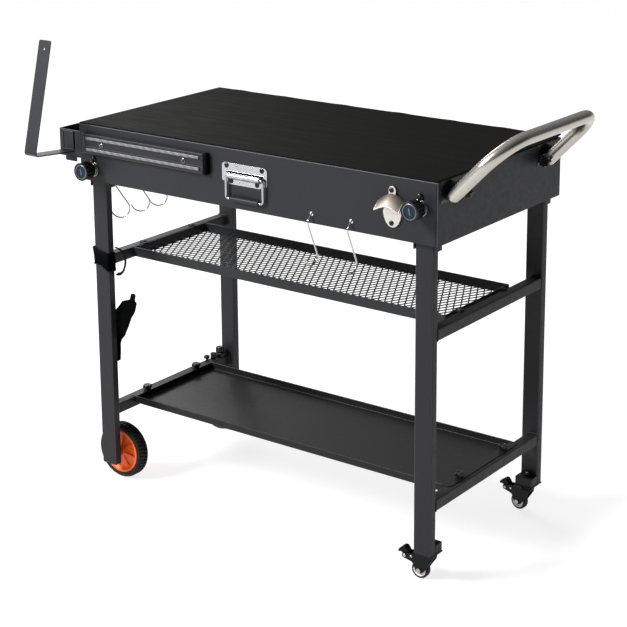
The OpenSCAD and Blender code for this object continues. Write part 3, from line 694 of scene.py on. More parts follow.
# ---------------------------------------------------------------- table
def table_shell():
    keep = lambda e: not all(v.co.z < 732 for v in e.verts)
    shell = rbox(-HX, -HY, 731, HX, HY, 859, 2.4, 4, keep)
    cuts = [rbox(-HX + 1.5, -HY + 1.5, 700, HX - 1.5, HY - 1.5, 857.4, 1.0, 2, keep)]
    for s in (-1, 1):
        cuts.append(cyl((s * 434, -HY - 5, PIVOT[s]), (0, 1, 0), 2 * HY + 10, 4.2))
        cuts.append(cyl((LOCK_X[s], -HY - 5, PIVOT[s] - 23), (0, 1, 0), 2 * HY + 10, 4.0))
    for x in (171, 270):
        cuts.append(cyl((x, -HY - 5, 750.8), (0, 1, 0), 10, 4.5))
    for y in (-147, -79.5, -17.5):
        cuts.append(cyl((-HX - 5, y, 749.7), (1, 0, 0), 10, 5.6))
    for sx in (-1, 1):
        for sy in (-1, 1):
            cuts.append(rbox(sx * 470.5 - 0.45, sy * HY - 0.6, 725, sx * 470.5 + 0.45, sy * HY + 0.6, 855.5, 0))
    make("table_shell_skin", boolean(shell, cuts), "table", FRAME, "table_shell", 30)


def slab(xs, ys, top, bot):
    bm = bmesh.new()
    t = [[bm.verts.new((x, y, top(x, y))) for y in ys] for x in xs]
    b = [[bm.verts.new((x, y, bot(x, y))) for y in ys] for x in xs]
    nx, ny = len(xs), len(ys)
    for i in range(nx - 1):
        for j in range(ny - 1):
            bm.faces.new((t[i][j], t[i + 1][j], t[i + 1][j + 1], t[i][j + 1]))
            bm.faces.new((b[i][j], b[i][j + 1], b[i + 1][j + 1], b[i + 1][j]))
    for i in range(nx - 1):
        bm.faces.new((t[i][0], b[i][0], b[i + 1][0], t[i + 1][0]))
        bm.faces.new((t[i][-1], t[i + 1][-1], b[i + 1][-1], b[i][-1]))
    for j in range(ny - 1):
        bm.faces.new((t[0][j], t[0][j + 1], b[0][j + 1], b[0][j]))
        bm.faces.new((t[-1][j], b[-1][j], b[-1][j + 1], t[-1][j + 1]))
    return bm


def top_mat():
    X, Y = 474.5, 244.5
    edge = [0, 0.12, 0.45, 1.0, 1.8, 6]
    def axis_steps(h, step):
        inner = int((2 * h - 24) / step)
        return [-h + e for e in edge] + [-h + 12 + i * (2 * h - 24) / inner for i in range(inner + 1)] + [h - e for e in reversed(edge)]
    drop = lambda e: 1.3 * (1 - math.sqrt(max(0, 1 - (1 - min(e / 1.8, 1)) ** 2)))
    def curl(x, y):
        d = math.hypot(max(0, x - (X - 22)), max(0, y - (Y - 22))) if x > X - 22 and y > Y - 22 else 0
        return 5.5 * min(1, d / 31) ** 2
    bumps = [(-402, 1.1, 16), (-268, 0.8, 22), (-96, 0.9, 15), (64, 1.2, 20), (198, 0.8, 14), (337, 1.0, 18)]
    def lift(x, y):
        e = max(0.0, (y - 226) / 18)
        return curl(x, y) + e * sum(h * math.exp(-((x - c) / w) ** 2) for c, h, w in bumps)
    def top(x, y):
        return 862.0 - drop(min(X - abs(x), Y - abs(y))) + lift(x, y)
    make("top_mat_sheet", slab(axis_steps(X, 16), axis_steps(Y, 12), top, lambda x, y: 859.0 + lift(x, y)), "table", MATTOP, "top_mat", 60, False)


def pivot_bolts():
    heads, bright = [], []
    for sx in (-1, 1):
        for sy in (-1, 1):
            x, z = sx * 434, PIVOT[sx]
            heads.append(mirror_if(revolve([(7.2, 0.9), (7.3, 1.6), (6.8, 2.9), (5.6, 4.1), (3.9, 4.8), (3.0, 4.9), (2.4, 3.9), (0, 3.9)], (x, -HY, z), (0, -1, 0), 32), sy))
            heads.append(mirror_if(revolve([(4.1, 0.02), (8.6, 0.02), (9.0, 0.35), (8.8, 0.9), (4.1, 1.1)], (x, -HY, z), (0, -1, 0), 40, closed=True), sy))
            bright.append(mirror_if(cyl((x, -HY + 0.1, z), (0, 1, 0), 42, 3.95, 24, 0.5), sy))
            bright.append(mirror_if(hexnut((x, -209.8, z), (0, 1, 0), 5.6, 7.3), sy))
    make("pivot_bolt_heads", group(*heads), "table", BLACK_METAL, "pivot_bolts", 35)
    make("pivot_bolt_shanks", group(*bright), "table", ZINC, "pivot_bolts", 35)


# ---------------------------------------------------------------- legs and bars
def leg(sx, sy):
    x, y = sx * 435, sy * 220
    zb = 47 if sx < 0 else 65
    bm = prism(rrect(42, 20, 3.4, 5, x, y), "z", zb, PIVOT[sx] + 24, 0.7)
    cuts = [cyl((x + (1 if sx < 0 else -1), y - 20, PIVOT[sx]), (0, 1, 0), 40, 4.15),
            cyl((LOCK_X[sx], y - 20, PIVOT[sx] - 23), (0, 1, 0), 40, 4.4)]
    if sx < 0:
        cuts.append(cyl((x, 0 if sy > 0 else -218, 65.7), (0, 1, 0), 218, 6.1))
        cuts.append(rbox(x - 19, y - 8, zb - 1, x + 19, y + 8, zb + 7, 1.5))
    name = "leg_%s_%s" % ("left" if sx < 0 else "right", "front" if sy < 0 else "back")
    make(name + "_tube", boolean(bm, cuts), "table", LEG, name, 30)


def bead(x, y, z, w, h, r=1.5):
    """Weld bead round a square tube's end: a loop in the plane y."""
    pts = resample([Vector((a, y, b)) for a, b in rrect(w, h, 2.6, 4, x, z)] , 3.0)
    rnd = random.Random(int(x * 7 + z * 3 + y))
    k = [rnd.uniform(0.8, 1.2) for _ in pts]
    return sweep(pts, lambda i, d: circle(r * k[i], 8), up=(0, 1, 0), loop=True)


def bars(sx, name):
    x = sx * (435 + 21 - 12.5)
    parts = []
    for zt in (550, 185):
        b = prism(rrect(25, 25, 2.6, 4, x, zt - 12.5), "y", -210, 210)
        if zt < 300:
            b = boolean(b, [cyl((sx * 437, s * 89, zt - 5), (0, 0, 1), 8, 3.4, 24) for s in (-1, 1)])
        parts.append(b)
        for s in (-1, 1):
            parts.append(bead(x, s * 209.4, zt - 12.5, 25.2, 25.2))
    make(name + "_tubes", group(*parts), "table", LEG, name, 30)


def leg_plugs():
    """Plastic plugs in the open bottoms of the left legs."""
    parts = []
    for sy in (-1, 1):
        parts.append(rbox(-435 - 18.6, sy * 220 - 7.6, 46.4, -435 + 18.6, sy * 220 + 7.6, 50, 1.2))
    make("leg_plugs", group(*parts), "table", BLACK)


# ---------------------------------------------------------------- caddy and towel arm
def caddy():
    x0, y0, y1 = -543.0, -240.0, -130.0
    upright = lambda e: abs((e.verts[1].co - e.verts[0].co).normalized().z) > 0.99
    box = rbox(x0, y0, 777, -HX, y1, 838, 2.2, 3, upright)
    cuts = [rbox(x0 + 1.5, y0 + 1.5, 788.5, -HX - 1.5, y1 - 1.5, 860, 1.2, 2, upright),
            rbox(x0 + 1.5, y0 + 1.5, 760, -HX - 1.5, y1 - 1.5, 787, 1.2, 2, upright),
            rbox(-531, y0 - 4, 794, -501, y0 + 0.9, 835, 1.4, 2, along("y")),
            rbox(-500, y0 - 4, 794, -495, y0 + 4, 835, 1.2, 2, along("y")),
            rbox(-534, y0 - 4, 788.5, -496, y0 + 4, 792.2, 0.5, 1, along("y"))]
    for y in (y0 + 25, y0 + 85):
        cuts.append(cyl((-HX - 5, y, 815), (1, 0, 0), 8, 2.5, 20))
    bm = boolean(box, cuts)
    rim = [Vector((a, b, 838.0)) for a, b in rrect(-HX - x0 - 1.5, y1 - y0 - 1.5, 1.6, 4, (x0 - HX) / 2, (y0 + y1) / 2)]
    parts = [bm, sweep(rim, circle(1.15, 8), up=(0, 0, 1), loop=True)]
    parts.append(prism([(-524, 766.8), (-492, 766.8), (-490.5, 768.3), (-490.5, 777.5), (-525.5, 777.5), (-525.5, 768.3)], "y", y0, y0 + 1.5, 0.3, 1))
    frame_pts = [Vector((a, y0 - 0.1, b)) for a, b in rrect(30.6, 41.6, 1.8, 4, -516, 814.5)]
    parts.append(sweep(frame_pts, circle(0.65, 6), up=(0, 1, 0), loop=True))
    make("caddy_box_sheet", group(*parts), "table", FRAME, "caddy_box", 30)


def towel():
    path = fillet([(-515, -181, 790), (-515, -243, 790), (-515, -360.0, 800.0), (-515, -297.9, 1049.6)], [40, 7], 8)
    path = resample(path, 6)
    total = sum((b - a).length for a, b in zip(path, path[1:]))
    def sec(i, d):
        e = min(total - d, d)
        w = 18 - (4 - math.sqrt(max(0, 16 - (4 - e) ** 2)) if e < 4 else 0)
        return [(a, b) for a, b in rrect(3, 2 * w, 0.9, 2)]
    end = path[-1] - (path[-1] - path[-2]).normalized()
    path = path[:-1] + [path[-1].lerp(path[-2], t) for t in (0.6, 0.35, 0.15, 0.05, 0.0)]
    bm = sweep(path, sec, up=(0, 0, 1))
    bm = boolean(bm, [cyl((-515, -320, 1034), (0, 1, -0.2), 40, 3.1, 28)])
    make("towel_arm_strip", bm, "table", FRAME, "towel_arm", 35)


# ---------------------------------------------------------------- front fittings
def magnet_bar():
    y1, y0 = -HY, -HY - 12
    z0, z1 = 795.0, 841.0
    prof = [(y1, z0), (y0 + 3.2, z0), (y0 + 0.9, z0 + 1.2), (y0, z0 + 3.4), (y0, 801.8), (y0 + 1.6, 802.0), (y0 + 1.6, 809.0), (y0, 809.2),
            (y0, 811.2), (y0 + 2.2, 812.4), (y0 + 2.2, 823.6), (y0, 824.8), (y0, 826.8), (y0 + 1.6, 827.0), (y0 + 1.6, 834.0), (y0, 834.2), (y0, z1 - 3.4), (y0 + 0.9, z1 - 1.2), (y0 + 3.2, z1), (y1, z1)]
    bm = prism(prof, "x", -456, -106)
    for x in (-400, -161):
        bm = boolean(bm, [cyl((x, y0 + 4.6, 818), (0, -1, 0), 8, 5.4, 32)])
    caps = []
    for xa, xb in ((-458.0, -450), (-107, -95.0)):
        caps.append(rbox(xa, y0 - 0.4, z0 - 0.4, xb, y1 + 0.01, z1 + 0.4, 4.2, 5, lambda e: not all(v.co.y > y1 - 0.5 for v in e.verts)))
    make("magnet_body_bar", group(bm, caps[0]), "table", BAR, "magnet_body", 32)
    make("magnet_body_cap", caps[1], "table", CAP, "magnet_body", 32)
    strips = []
    for z in (805.5, 830.5):
        strips.append(prism([(y0 + 1.5, z - 3.4), (y0 - 0.3, z - 3.2), (y0 - 0.8, z - 2.2), (y0 - 0.8, z + 2.2), (y0 - 0.3, z + 3.2), (y0 + 1.5, z + 3.4)], "x", -444, -117, 0.3, 1))
    make("magnet_strip_bars", group(*strips), "table", STRIP, "magnet_strips", 32)


def screws():
    bright = [revolve([(5.3, 0.1), (5.3, 3.9), (4.7, 4.2), (3.0, 1.4), (3.0, 0.1)], (x, -HY - 7.5, 818), (0, -1, 0), 36, closed=True) for x in (-400, -161)]
    make("panel_screws_cups", group(*[screw(x, -HY - 7.6, 818, 2.9, 1.6) for x in (-400, -161)]), "table", SCREW_DARK, "panel_screws", 35)
    for y in (-215, -155):
        s = revolve([(4.2, 0), (4.2, 0.6), (3.5, 1.4), (2, 1.9), (0, 2)], (-HX - 1.5, y, 815), (-1, 0, 0), 24)
        bright.append(s)
    make("panel_screws_bright", group(*bright), "table", ZINC, "panel_screws", 35)
    dark = [screw(-1 + a, -HY - 2, z, 5.7, 2.1) for a, z in ((-47, 822.5), (47, 822.5), (-35, 790.5), (34, 790.5))]
    dark += [screw(370, -HY - 4, z, 5.3, 2.4) for z in (831, 764)]
    make("panel_screws_dark", group(*dark), "table", SCREW_DARK, "panel_screws", 35)


def smooth_outline(pts, r, seg=5):
    """Closed 2D polygon with each corner rounded."""
    out = []
    n = len(pts)
    for i in range(n):
        a, b, c = Vector(pts[i - 1]), Vector(pts[i]), Vector(pts[(i + 1) % n])
        rr = r[i] if isinstance(r, (list, tuple)) else r
        d1, d2 = (a - b).normalized(), (c - b).normalized()
        ang = d1.angle(d2)
        if rr <= 0 or ang > math.pi - 0.02:
            out.append(tuple(b))
            continue
        t = min(rr / math.tan(ang / 2), (a - b).length * 0.49, (c - b).length * 0.49)
        rr = t * math.tan(ang / 2)
        centre = b + (d1 + d2).normalized() * (rr / math.sin(ang / 2))
        p, q = b + d1 * t - centre, b + d2 * t - centre
        turn = p.angle_signed(q)
        for k in range(seg + 1):
            s = -turn * k / seg
            out.append((centre.x + p.x * math.cos(s) - p.y * math.sin(s), centre.y + p.x * math.sin(s) + p.y * math.cos(s)))
    return out


def carry():
    cx, bx, cz = -1.0, 2.5, 803.0
    outline = smooth_outline([(cx - 60, 829), (cx - 60, 788), (cx - 45, 788), (cx - 43, 782.6), (cx + 43, 782.6), (cx + 45, 788), (cx + 60, 788), (cx + 60, 829)], [8, 5, 2, 4, 4, 2, 5, 8])
    plate = prism(outline, "y", -HY - 2, -HY, 0.7, 2)
    bulge = []
    for k in range(13):
        a = math.radians(-90 + 180 * k / 12)
        bulge.append((-HY - 6.8 - 6 * math.cos(a), cz + 6 * math.sin(a)))
    prof = [(-HY - 0.5, cz - 4.0), (-HY - 4.4, cz - 4.4)] + bulge[1:-1] + [(-HY - 4.4, cz + 4.4), (-HY - 0.5, cz + 4.0)]
    barrel = prism(prof, "x", bx - 41.6, bx + 41.6, 0.8, 2)
    barrel = boolean(barrel, [cyl((bx + s * 38 - 8, -HY - 6.8, cz), (1, 0, 0), 16, 3.6, 32) for s in (-1, 1)])
    dots = [revolve([(2.1, 0), (2.1, 0.5), (1.4, 0.9), (0, 1.0)], (cx + a, -HY - 2, z), (0, -1, 0), 16) for a, z in ((-20, 823), (20, 823), (-14, 788), (14, 788))]
    for z, h in ((cz + 8.6, 1.0), (cz - 8.4, 0.8)):
        dots.append(prism([(-HY - 1.9, z - 1.3), (-HY - 2.0 - h, z - 0.5), (-HY - 2.0 - h, z + 0.5), (-HY - 1.9, z + 1.3)], "x", bx - 52, bx + 50, 0.25, 1))
    # Near-black strips above and below the rolled barrel: painted shadow lines where the roll meets the plate.
    shadow_strips = [prism([(-HY - 1.6, cz + 4.6), (-HY - 5.2, cz + 5.4), (-HY - 5.0, cz + 7.2), (-HY - 1.6, cz + 7.4)], "x", bx - 50, bx + 47, 0.2, 1),
            prism([(-HY - 1.6, cz - 7.0), (-HY - 4.0, cz - 6.6), (-HY - 4.2, cz - 5.2), (-HY - 1.6, cz - 4.8)], "x", bx - 47, bx + 44, 0.2, 1)]
    make("carry_plate_shadow_strips", group(*shadow_strips), "table", CAP, "carry_plate", 35)
    make("carry_plate_sheet", group(plate, barrel, *dots), "table", CHROME, "carry_plate", 32)
    y = -HY - 6.8
    path = fillet([(bx - 36, y, cz), (bx - 49, y, cz), (bx - 49, y, cz - 50), (bx + 49, y, cz - 50), (bx + 49, y, cz), (bx + 36, y, cz)], 6, 8)
    make("carry_bail_wire", wire(resample(path, 12), 2.75, 20, up=(0, 1, 0)), "carry_handle", CHROME, "carry_bail", 60)
    prof = [(3.0, 0.8), (4.6, 0.2), (5.4, 0.9), (5.6, 2.0)]
    for k in range(1, 12):
        prof.append((5.6 - 0.16 * (k % 2), 2 + 74 * k / 12))
    prof += [(5.6, 76), (5.4, 77.1), (4.6, 77.8), (3.0, 77.2)]
    make("carry_grip_tube", revolve(prof, (bx - 39, y, cz - 50), (1, 0, 0), 32, closed=True), "carry_handle", GRIP, "carry_grip", 40)


def opener():
    ox = 371.5
    base = [(ox - 8.5, 805), (ox - 17, 800), (ox - 22, 786), (ox - 20, 775), (ox - 15, 764), (ox - 8, 757), (ox, 755), (ox + 8, 757), (ox + 15, 764), (ox + 20, 775), (ox + 22, 786), (ox + 17, 800), (ox + 8.5, 805)]
    base += [(ox + 8.5 * math.cos(math.radians(a)), 831 + 8.5 * math.sin(math.radians(a))) for a in range(0, 181, 15)]
    plate = prism(base, "y", -HY - 4, -HY, 1.0, 2)
    plate = boolean(plate, [cyl((ox, -HY - 8, z), (0, 1, 0), 12, 2.6, 20) for z in (831, 764)])
    # hood: an arched sheet that slopes out from the neck, u across and v outwards
    nu, nv = 30, 14
    def skin(u, v, inset):
        a = abs(u)
        x = 27.5 * u * (1 + 0.06 * v)
        d0 = 2.6 - 2.0 * a
        d = d0 + (25.2 - d0) * (v * (1.25 - 0.25 * v))
        z = 824.5 - 13.5 * a ** 1.7 - (21.5 - 3.0 * u * u) * v ** 1.55
        n = Vector((0.34 * u, -0.45 - 0.35 * v, 0.85 - 0.3 * v)).normalized()
        return Vector((ox + x, -HY - d, z)) - n * inset
    bm = bmesh.new()
    outer = [[bm.verts.new(skin(-1 + 2 * i / nu, j / nv, 0)) for i in range(nu + 1)] for j in range(nv + 1)]
    inner = [[bm.verts.new(skin(-1 + 2 * i / nu, j / nv, 2.3)) for i in range(nu + 1)] for j in range(nv + 1)]
    for j in range(nv):
        for i in range(nu):
            bm.faces.new((outer[j][i], outer[j + 1][i], outer[j + 1][i + 1], outer[j][i + 1]))
            bm.faces.new((inner[j][i], inner[j][i + 1], inner[j + 1][i + 1], inner[j + 1][i]))
    for i in range(nu):
        bm.faces.new((outer[0][i], outer[0][i + 1], inner[0][i + 1], inner[0][i]))
        bm.faces.new((outer[nv][i], inner[nv][i], inner[nv][i + 1], outer[nv][i + 1]))
    for j in range(nv):
        bm.faces.new((outer[j][0], inner[j][0], inner[j + 1][0], outer[j + 1][0]))
        bm.faces.new((outer[j][nu], outer[j + 1][nu], inner[j + 1][nu], inner[j][nu]))
    rim = [skin(-1, j / nv, 1.15) for j in range(nv + 1)] + [skin(-1 + 2 * i / nu, 1, 1.15) for i in range(1, nu)] + [skin(1, 1 - j / nv, 1.15) for j in range(nv + 1)]
    lip = sweep(rim, circle(1.6, 10), up=(0, 0, 1))
    wedge = prism([(ox - 9, 824), (ox - 8.4, 812), (ox + 8.4, 812), (ox + 9, 824)], "y", -HY - 5.5, -HY - 2, 0.8, 2)
    make("bottle_opener_hood", group(bm, wedge), "table", NICKEL_BRUSHED, "bottle_opener", 40)
    make("bottle_opener_cast", group(plate, lip), "table", NICKEL, "bottle_opener", 40)


# ---------------------------------------------------------------- push handle
PX, PZ, PY1, PY2, PR = 494.5, 831.0, -217.5, 159.5, 13.7


def push_handle():
    up = math.radians(45.5)
    d, nrm = Vector((math.cos(up), 0, math.sin(up))), Vector((-math.sin(up), 0, math.cos(up)))
    a, b = Vector((PX, PY1, PZ)), Vector((PX, PY2, PZ))
    body = resample(fillet([a, a + d * 161, b + d * 161, b], 74.5, 20), 24)
    ends = [13.69, 13.5, 13.0, 12.0, 10.4, 8.4, 6.0, 3.2]
    path = [a - d * s for s in ends] + body + [b - d * s for s in reversed(ends)]
    last = len(path) - 1
    def sec(i, dist):
        k = min(i, last - i)
        if k >= len(ends):
            return circle(PR, 32)
        s = ends[k]
        h = math.sqrt(max(0.01, PR * PR - s * s))
        w = PR * max(0.02, 1 - (s / PR) ** 2.6) ** 0.42
        # section axis a is nrm (up), b is across
        out = []
        for x, y in circle(1, 32):
            out.append((x * h, y * (w if abs(y) < 1 else w)))
        return out
    bm = sweep(path, sec, up=nrm, uv=True)
    make("push_tube_pipe", bm, "push_handle", TUBE, "push_tube", 50, False)


def push_brackets():
    parts = []
    for y in (PY1, PY2):
        ye = y + PR + 0.5
        ear = [(HX, 816), (PX - 3, 816)]
        ear += [(PX + 15 * math.cos(math.radians(t)), PZ + 15 * math.sin(math.radians(t))) for t in range(-90, 41, 10)]
        ear += [(PX + 2, 845), (PX - 6, 857), (HX, 860)]
        e = prism(ear, "y", ye, ye + 3, 0.6, 2)
        e = boolean(e, [cyl((PX, ye - 3, PZ), (0, 1, 0), 9, 4.2, 28)])
        parts.append(e)
        parts.append(rbox(HX, ye - 34, 816, HX + 1.5, ye + 3, 860, 0.6, 2))
        for z in (823, 851):
            parts.append(revolve([(2.6, 0), (2.6, 0.5), (1.7, 1.3), (0, 1.5)], (HX + 1.5, ye - 30, z), (1, 0, 0), 18))
    make("push_bracket_ears", group(*parts), "table", BLACK_METAL, "push_brackets", 32)


def star_knob(p, axis, base_r, base_h, r, h, n, depth=0.2, recess=0.0):
    prof = [(base_r * 0.9, 0), (base_r, 0.5), (base_r, base_h - 0.5), (base_r * 0.98, base_h)]
    lo = base_h + 0.2
    prof += [(r * 0.8, lo), (r * 0.94, lo + 0.5), (r, lo + 1.6), (r, lo + h * 0.35), (r, lo + h - 2.2), (r * 0.965, lo + h - 0.9), (r * 0.9, lo + h - 0.2), (r * 0.78, lo + h)]
    prof += [(r * 0.55, lo + h + 0.1), (r * 0.5, lo + h - 0.7 - recess), (0, lo + h - 0.9 - recess)]
    top = lo + h + 0.05
    return revolve(prof, p, axis, n * 12, warp=lambda rr, t, a, k: ((rr * (1 - depth / 2 + depth / 2 * math.cos(n * a)), t) if lo - 0.01 <= t <= top and rr > r * 0.7 else (rr, t)))


def push_knobs():
    for name, body, y, s, d, s1, s2 in (("push_knob_front", "push_handle_knob_front", PY1, 1, 37.5, -PR + 1, 42), ("push_knob_back", "push_handle_knob_back", PY2, -1, PR + 0.3, -PR - 5, 20)):
        ax = (0, s, 0)
        k = star_knob((PX, y + s * d, PZ), ax, 8, 3, 14.8, 9.6, 8, 0.2)
        make(name + "_grip", k, body, BLACK_SATIN, name, 32)
        parts = [cyl((PX, y + s * s1, PZ), ax, s2 - s1, 4.05, 24, 0.6)]
        z0, z1 = (19, 37) if s > 0 else (-PR - 4.4, -PR - 1)
        make(name + "_stud", group(*parts), body, ZINC, name, 35)


# ---------------------------------------------------------------- lock knobs
def lock_knob(sx, sy, body, node):
    x, z = LOCK_X[sx], PIVOT[sx] - 23
    o, ax = (x, -HY, z), (0, -1, 0)
    prof = [(11.6, 8.2), (12.2, 8.6), (12.2, 9.4), (15, 9.7), (18.2, 10.4), (19.5, 11.4), (19.9, 13.0), (19.9, 17), (19.9, 24), (19.9, 31.6), (19.3, 33.0), (18.7, 34.0),
            (18.9, 34.8), (20.0, 35.4), (20.4, 36.2), (20.4, 37.6), (19.9, 38.6), (18.9, 39.0), (17.6, 38.8), (17.2, 37.4), (0, 37.0)]
    f = lambda r, t, a, k: (r * (0.945 + 0.055 * math.cos(14 * a)), t) if 11 < t < 34.1 else (r, t)
    b = revolve(prof, o, ax, 168, warp=f)
    make(node + "_body", mirror_if(b, sy), body, BLACK_SATIN, node, 32)
    ring = revolve([(13.9, 36.9), (14.0, 37.8), (14.4, 38.4), (15.1, 38.6), (16.0, 38.5), (16.6, 38.0), (17.1, 37.2), (17.1, 36.9)], o, ax, 72, closed=True)
    washer = revolve([(4.1, 0.1), (16.8, 0.1), (17.6, 0.5), (17.5, 1.9), (16.7, 2.4), (4.1, 2.5)], o, ax, 56, closed=True)
    collar = revolve([(4.1, 2.3), (12.4, 2.3), (13.3, 2.9), (13.6, 4.0), (13.6, 7.2), (13.0, 8.3), (11.5, 8.9), (4.1, 8.9)], o, ax, 56, closed=True)
    stud = cyl((x, -HY + 20, z), (0, -1, 0), 23, 3.9, 24, 0.6)
    make(node + "_ring", mirror_if(ring, sy), body, RING, node, 35)
    make(node + "_washer", mirror_if(group(washer, collar, stud), sy), body, ZINC, node, 35)
    disc = revolve([(13.8, 36.9), (13.8, 37.7), (13.4, 38.1), (12.3, 38.1), (11.9, 37.6), (6, 37.5), (0, 37.4)], o, ax, 64)
    m = rbox(-1.3, -0.6, -7.4, 1.3, 0.6, 7.4, 0.5, 2)
    moved(m, ry=-14)
    moved(m, x, -HY - 37.6, z)
    make(node + "_disc", mirror_if(disc, sy), body, DISC, node, 35)
    make(node + "_ridge", mirror_if(m, sy), body, RING, node, 35)


# ---------------------------------------------------------------- shelf
def shelf():
    x1, x2, hy = -430.5, 421.5, 128.0
    parts = []
    for sy in (-1, 1):
        parts.append(rbox(x1, min(sy * hy, sy * (hy - 3)), 528, x2, max(sy * hy, sy * (hy - 3)), 550, 0.8, 2))
    for xa in (x1, x2 - 3):
        parts.append(rbox(xa, -hy + 2.6, 528, xa + 3, hy - 2.6, 550, 0.8, 2))
    for sx, xa in ((-1, x1 + 3), (1, x2 - 3)):
        for sy in (-1, 1):
            pts = [Vector((xa, sy * (hy - 3), z)) for z in range(529, 550, 2)]
            rnd = random.Random(int(xa + sy * 3))
            k = [rnd.uniform(0.8, 1.25) for _ in pts]
            parts.append(sweep(pts, lambda i, d: circle(1.3 * k[i], 8), up=(1, 0, 0)))
    make("shelf_rail_frame", group(*parts), "shelf", SHELF, "shelf_rails", 32)
    # expanded mesh
    ax, ay = 8.35, 15.5
    xl, xh, yl, yh = x1 + 3, x2 - 3, -hy + 3, hy - 3
    bm = bmesh.new()
    nx, ny = int((xh - xl) / ax) + 2, int((yh - yl) / ay) + 2
    x0, y0 = (xl + xh) / 2 - (nx // 2) * ax, (yl + yh) / 2 - (ny // 2) * ay
    def bar(p, q, w, z0, z1):
        d = (q - p).normalized()
        s = Vector((-d.y, d.x)) * (w / 2)
        lo, hi = [], []
        for c in (p - s, q - s, q + s, p + s):
            lo.append(bm.verts.new((c.x, c.y, z0)))
            hi.append(bm.verts.new((c.x, c.y, z1)))
        bm.faces.new(lo[::-1])
        bm.faces.new(hi)
        for i in range(4):
            bm.faces.new((lo[i], lo[(i + 1) % 4], hi[(i + 1) % 4], hi[i]))
    def clip(p, q):
        t0, t1 = 0.0, 1.0
        d = q - p
        for c, v, a, b in ((0, d.x, xl, xh), (1, d.y, yl, yh)):
            pc = p[c]
            if abs(v) < 1e-9:
                if pc < a or pc > b:
                    return None
                continue
            ta, tb = (a - pc) / v, (b - pc) / v
            if ta > tb:
                ta, tb = tb, ta
            t0, t1 = max(t0, ta), min(t1, tb)
        return (p + d * t0, p + d * t1) if t1 - t0 > 0.02 else None
    for i in range(-1, nx + 2):
        for j in range(-1, ny + 2):
            if (i + j) % 2:
                continue
            p = Vector((x0 + i * ax, y0 + j * ay))
            for di, w0, w1 in ((1, 529.2, 530.9), (-1, 529.0, 530.7)):
                seg = clip(p, Vector((p.x + di * ax, p.y + ay)))
                if seg:
                    bar(seg[0], seg[1], 2.7, w0, w1)
            k = clip(Vector((p.x, p.y - 2.6)), Vector((p.x, p.y + 2.6)))
            if k:
                bar(k[0], k[1], 3.8, 529.05, 530.95)
    make("shelf_mesh_strands", bm, "shelf", SHELF, "shelf_mesh", 20, False)
    tabs = []
    for y in (-86, 86):
        for xa, xb, px in ((x2 - 3, 437, x2 + 8), (x1 - 13, x1 + 3, x1 - 7)):
            tabs.append(rbox(xa, y - 7, 550, xb, y + 7, 552, 0.7, 2))
            tabs.append(revolve([(4.2, 0), (4.2, 1.2), (3.4, 2.6), (1.8, 3.6), (0, 3.8)], (px, y, 551.9), (0, 0, 1), 24))
            wing = rbox(-8.5, -1.3, 0.4, 8.5, 1.3, 3.0, 1.1, 2)
            moved(wing, rz=35)
            moved(wing, px, y, 552.2)
            tabs.append(wing)
    make("shelf_tab_plates", group(*tabs), "shelf", SHELF, "shelf_tabs", 32)


# ---------------------------------------------------------------- tray
def tray():
    hx, hy, z0, z1 = 430.0, 140.0, 169.5, 186.5
    not_top = lambda z: (lambda e: not all(v.co.z > z - 0.5 for v in e.verts))
    pan = rbox(-hx, -hy, z0, hx, hy, z1, 3.0, 4, not_top(z1))
    inner = rbox(-hx + 1.5, -hy + 1.5, z0 + 1.5, hx - 1.5, hy - 1.5, z1 + 9, 1.8, 3, not_top(z1 + 9))
    outline = []
    for qx, qy, a0 in ((1, 1, 0), (-1, 1, 90), (-1, -1, 180), (1, -1, 270)):
        for k in range(7):
            a = math.radians(a0 + 15 * k)
            outline.append((qx * (hx + 7) + 10 * math.cos(a), qy * (hy - 10) + 10 * math.sin(a)))
    flange = prism(outline, "z", 185, 186.5, 0.35, 1)
    bm = boolean(pan, [flange], "UNION")
    bm = boolean(bm, [inner])
    holes = [cyl((sx * 437, sy * 89, 180), (0, 0, 1), 12, 3.1, 24) for sx in (-1, 1) for sy in (-1, 1)]
    bm = boolean(bm, holes)
    parts = [bm]
    for sy in (-1, 1):
        parts.append(cyl((-hx + 1, sy * (hy - 0.9), 185.9), (1, 0, 0), 2 * hx - 2, 1.15, 12, 0.3))
    make("tray_pan_sheet", group(*parts), "tray", TRAY, "tray_pan", 30)
    for tag, sx, sy in (("a", -1, -1), ("b", -1, 1), ("c", 1, -1), ("d", 1, 1)):
        p = (sx * 437, sy * 89, 186.75)
        node, body = "tray_knob_" + tag, "tray_screw_" + tag
        make(node + "_grip", star_knob(p, (0, 0, 1), 7, 3.4, 11.5, 7.9, 6, 0.22), body, BLACK_SATIN, node, 32)
        make(node + "_screw", cyl((p[0], p[1], p[2] - 9), (0, 0, 1), 9.5, 2.95, 20, 0.5), body, SCREW_DARK, node, 35)


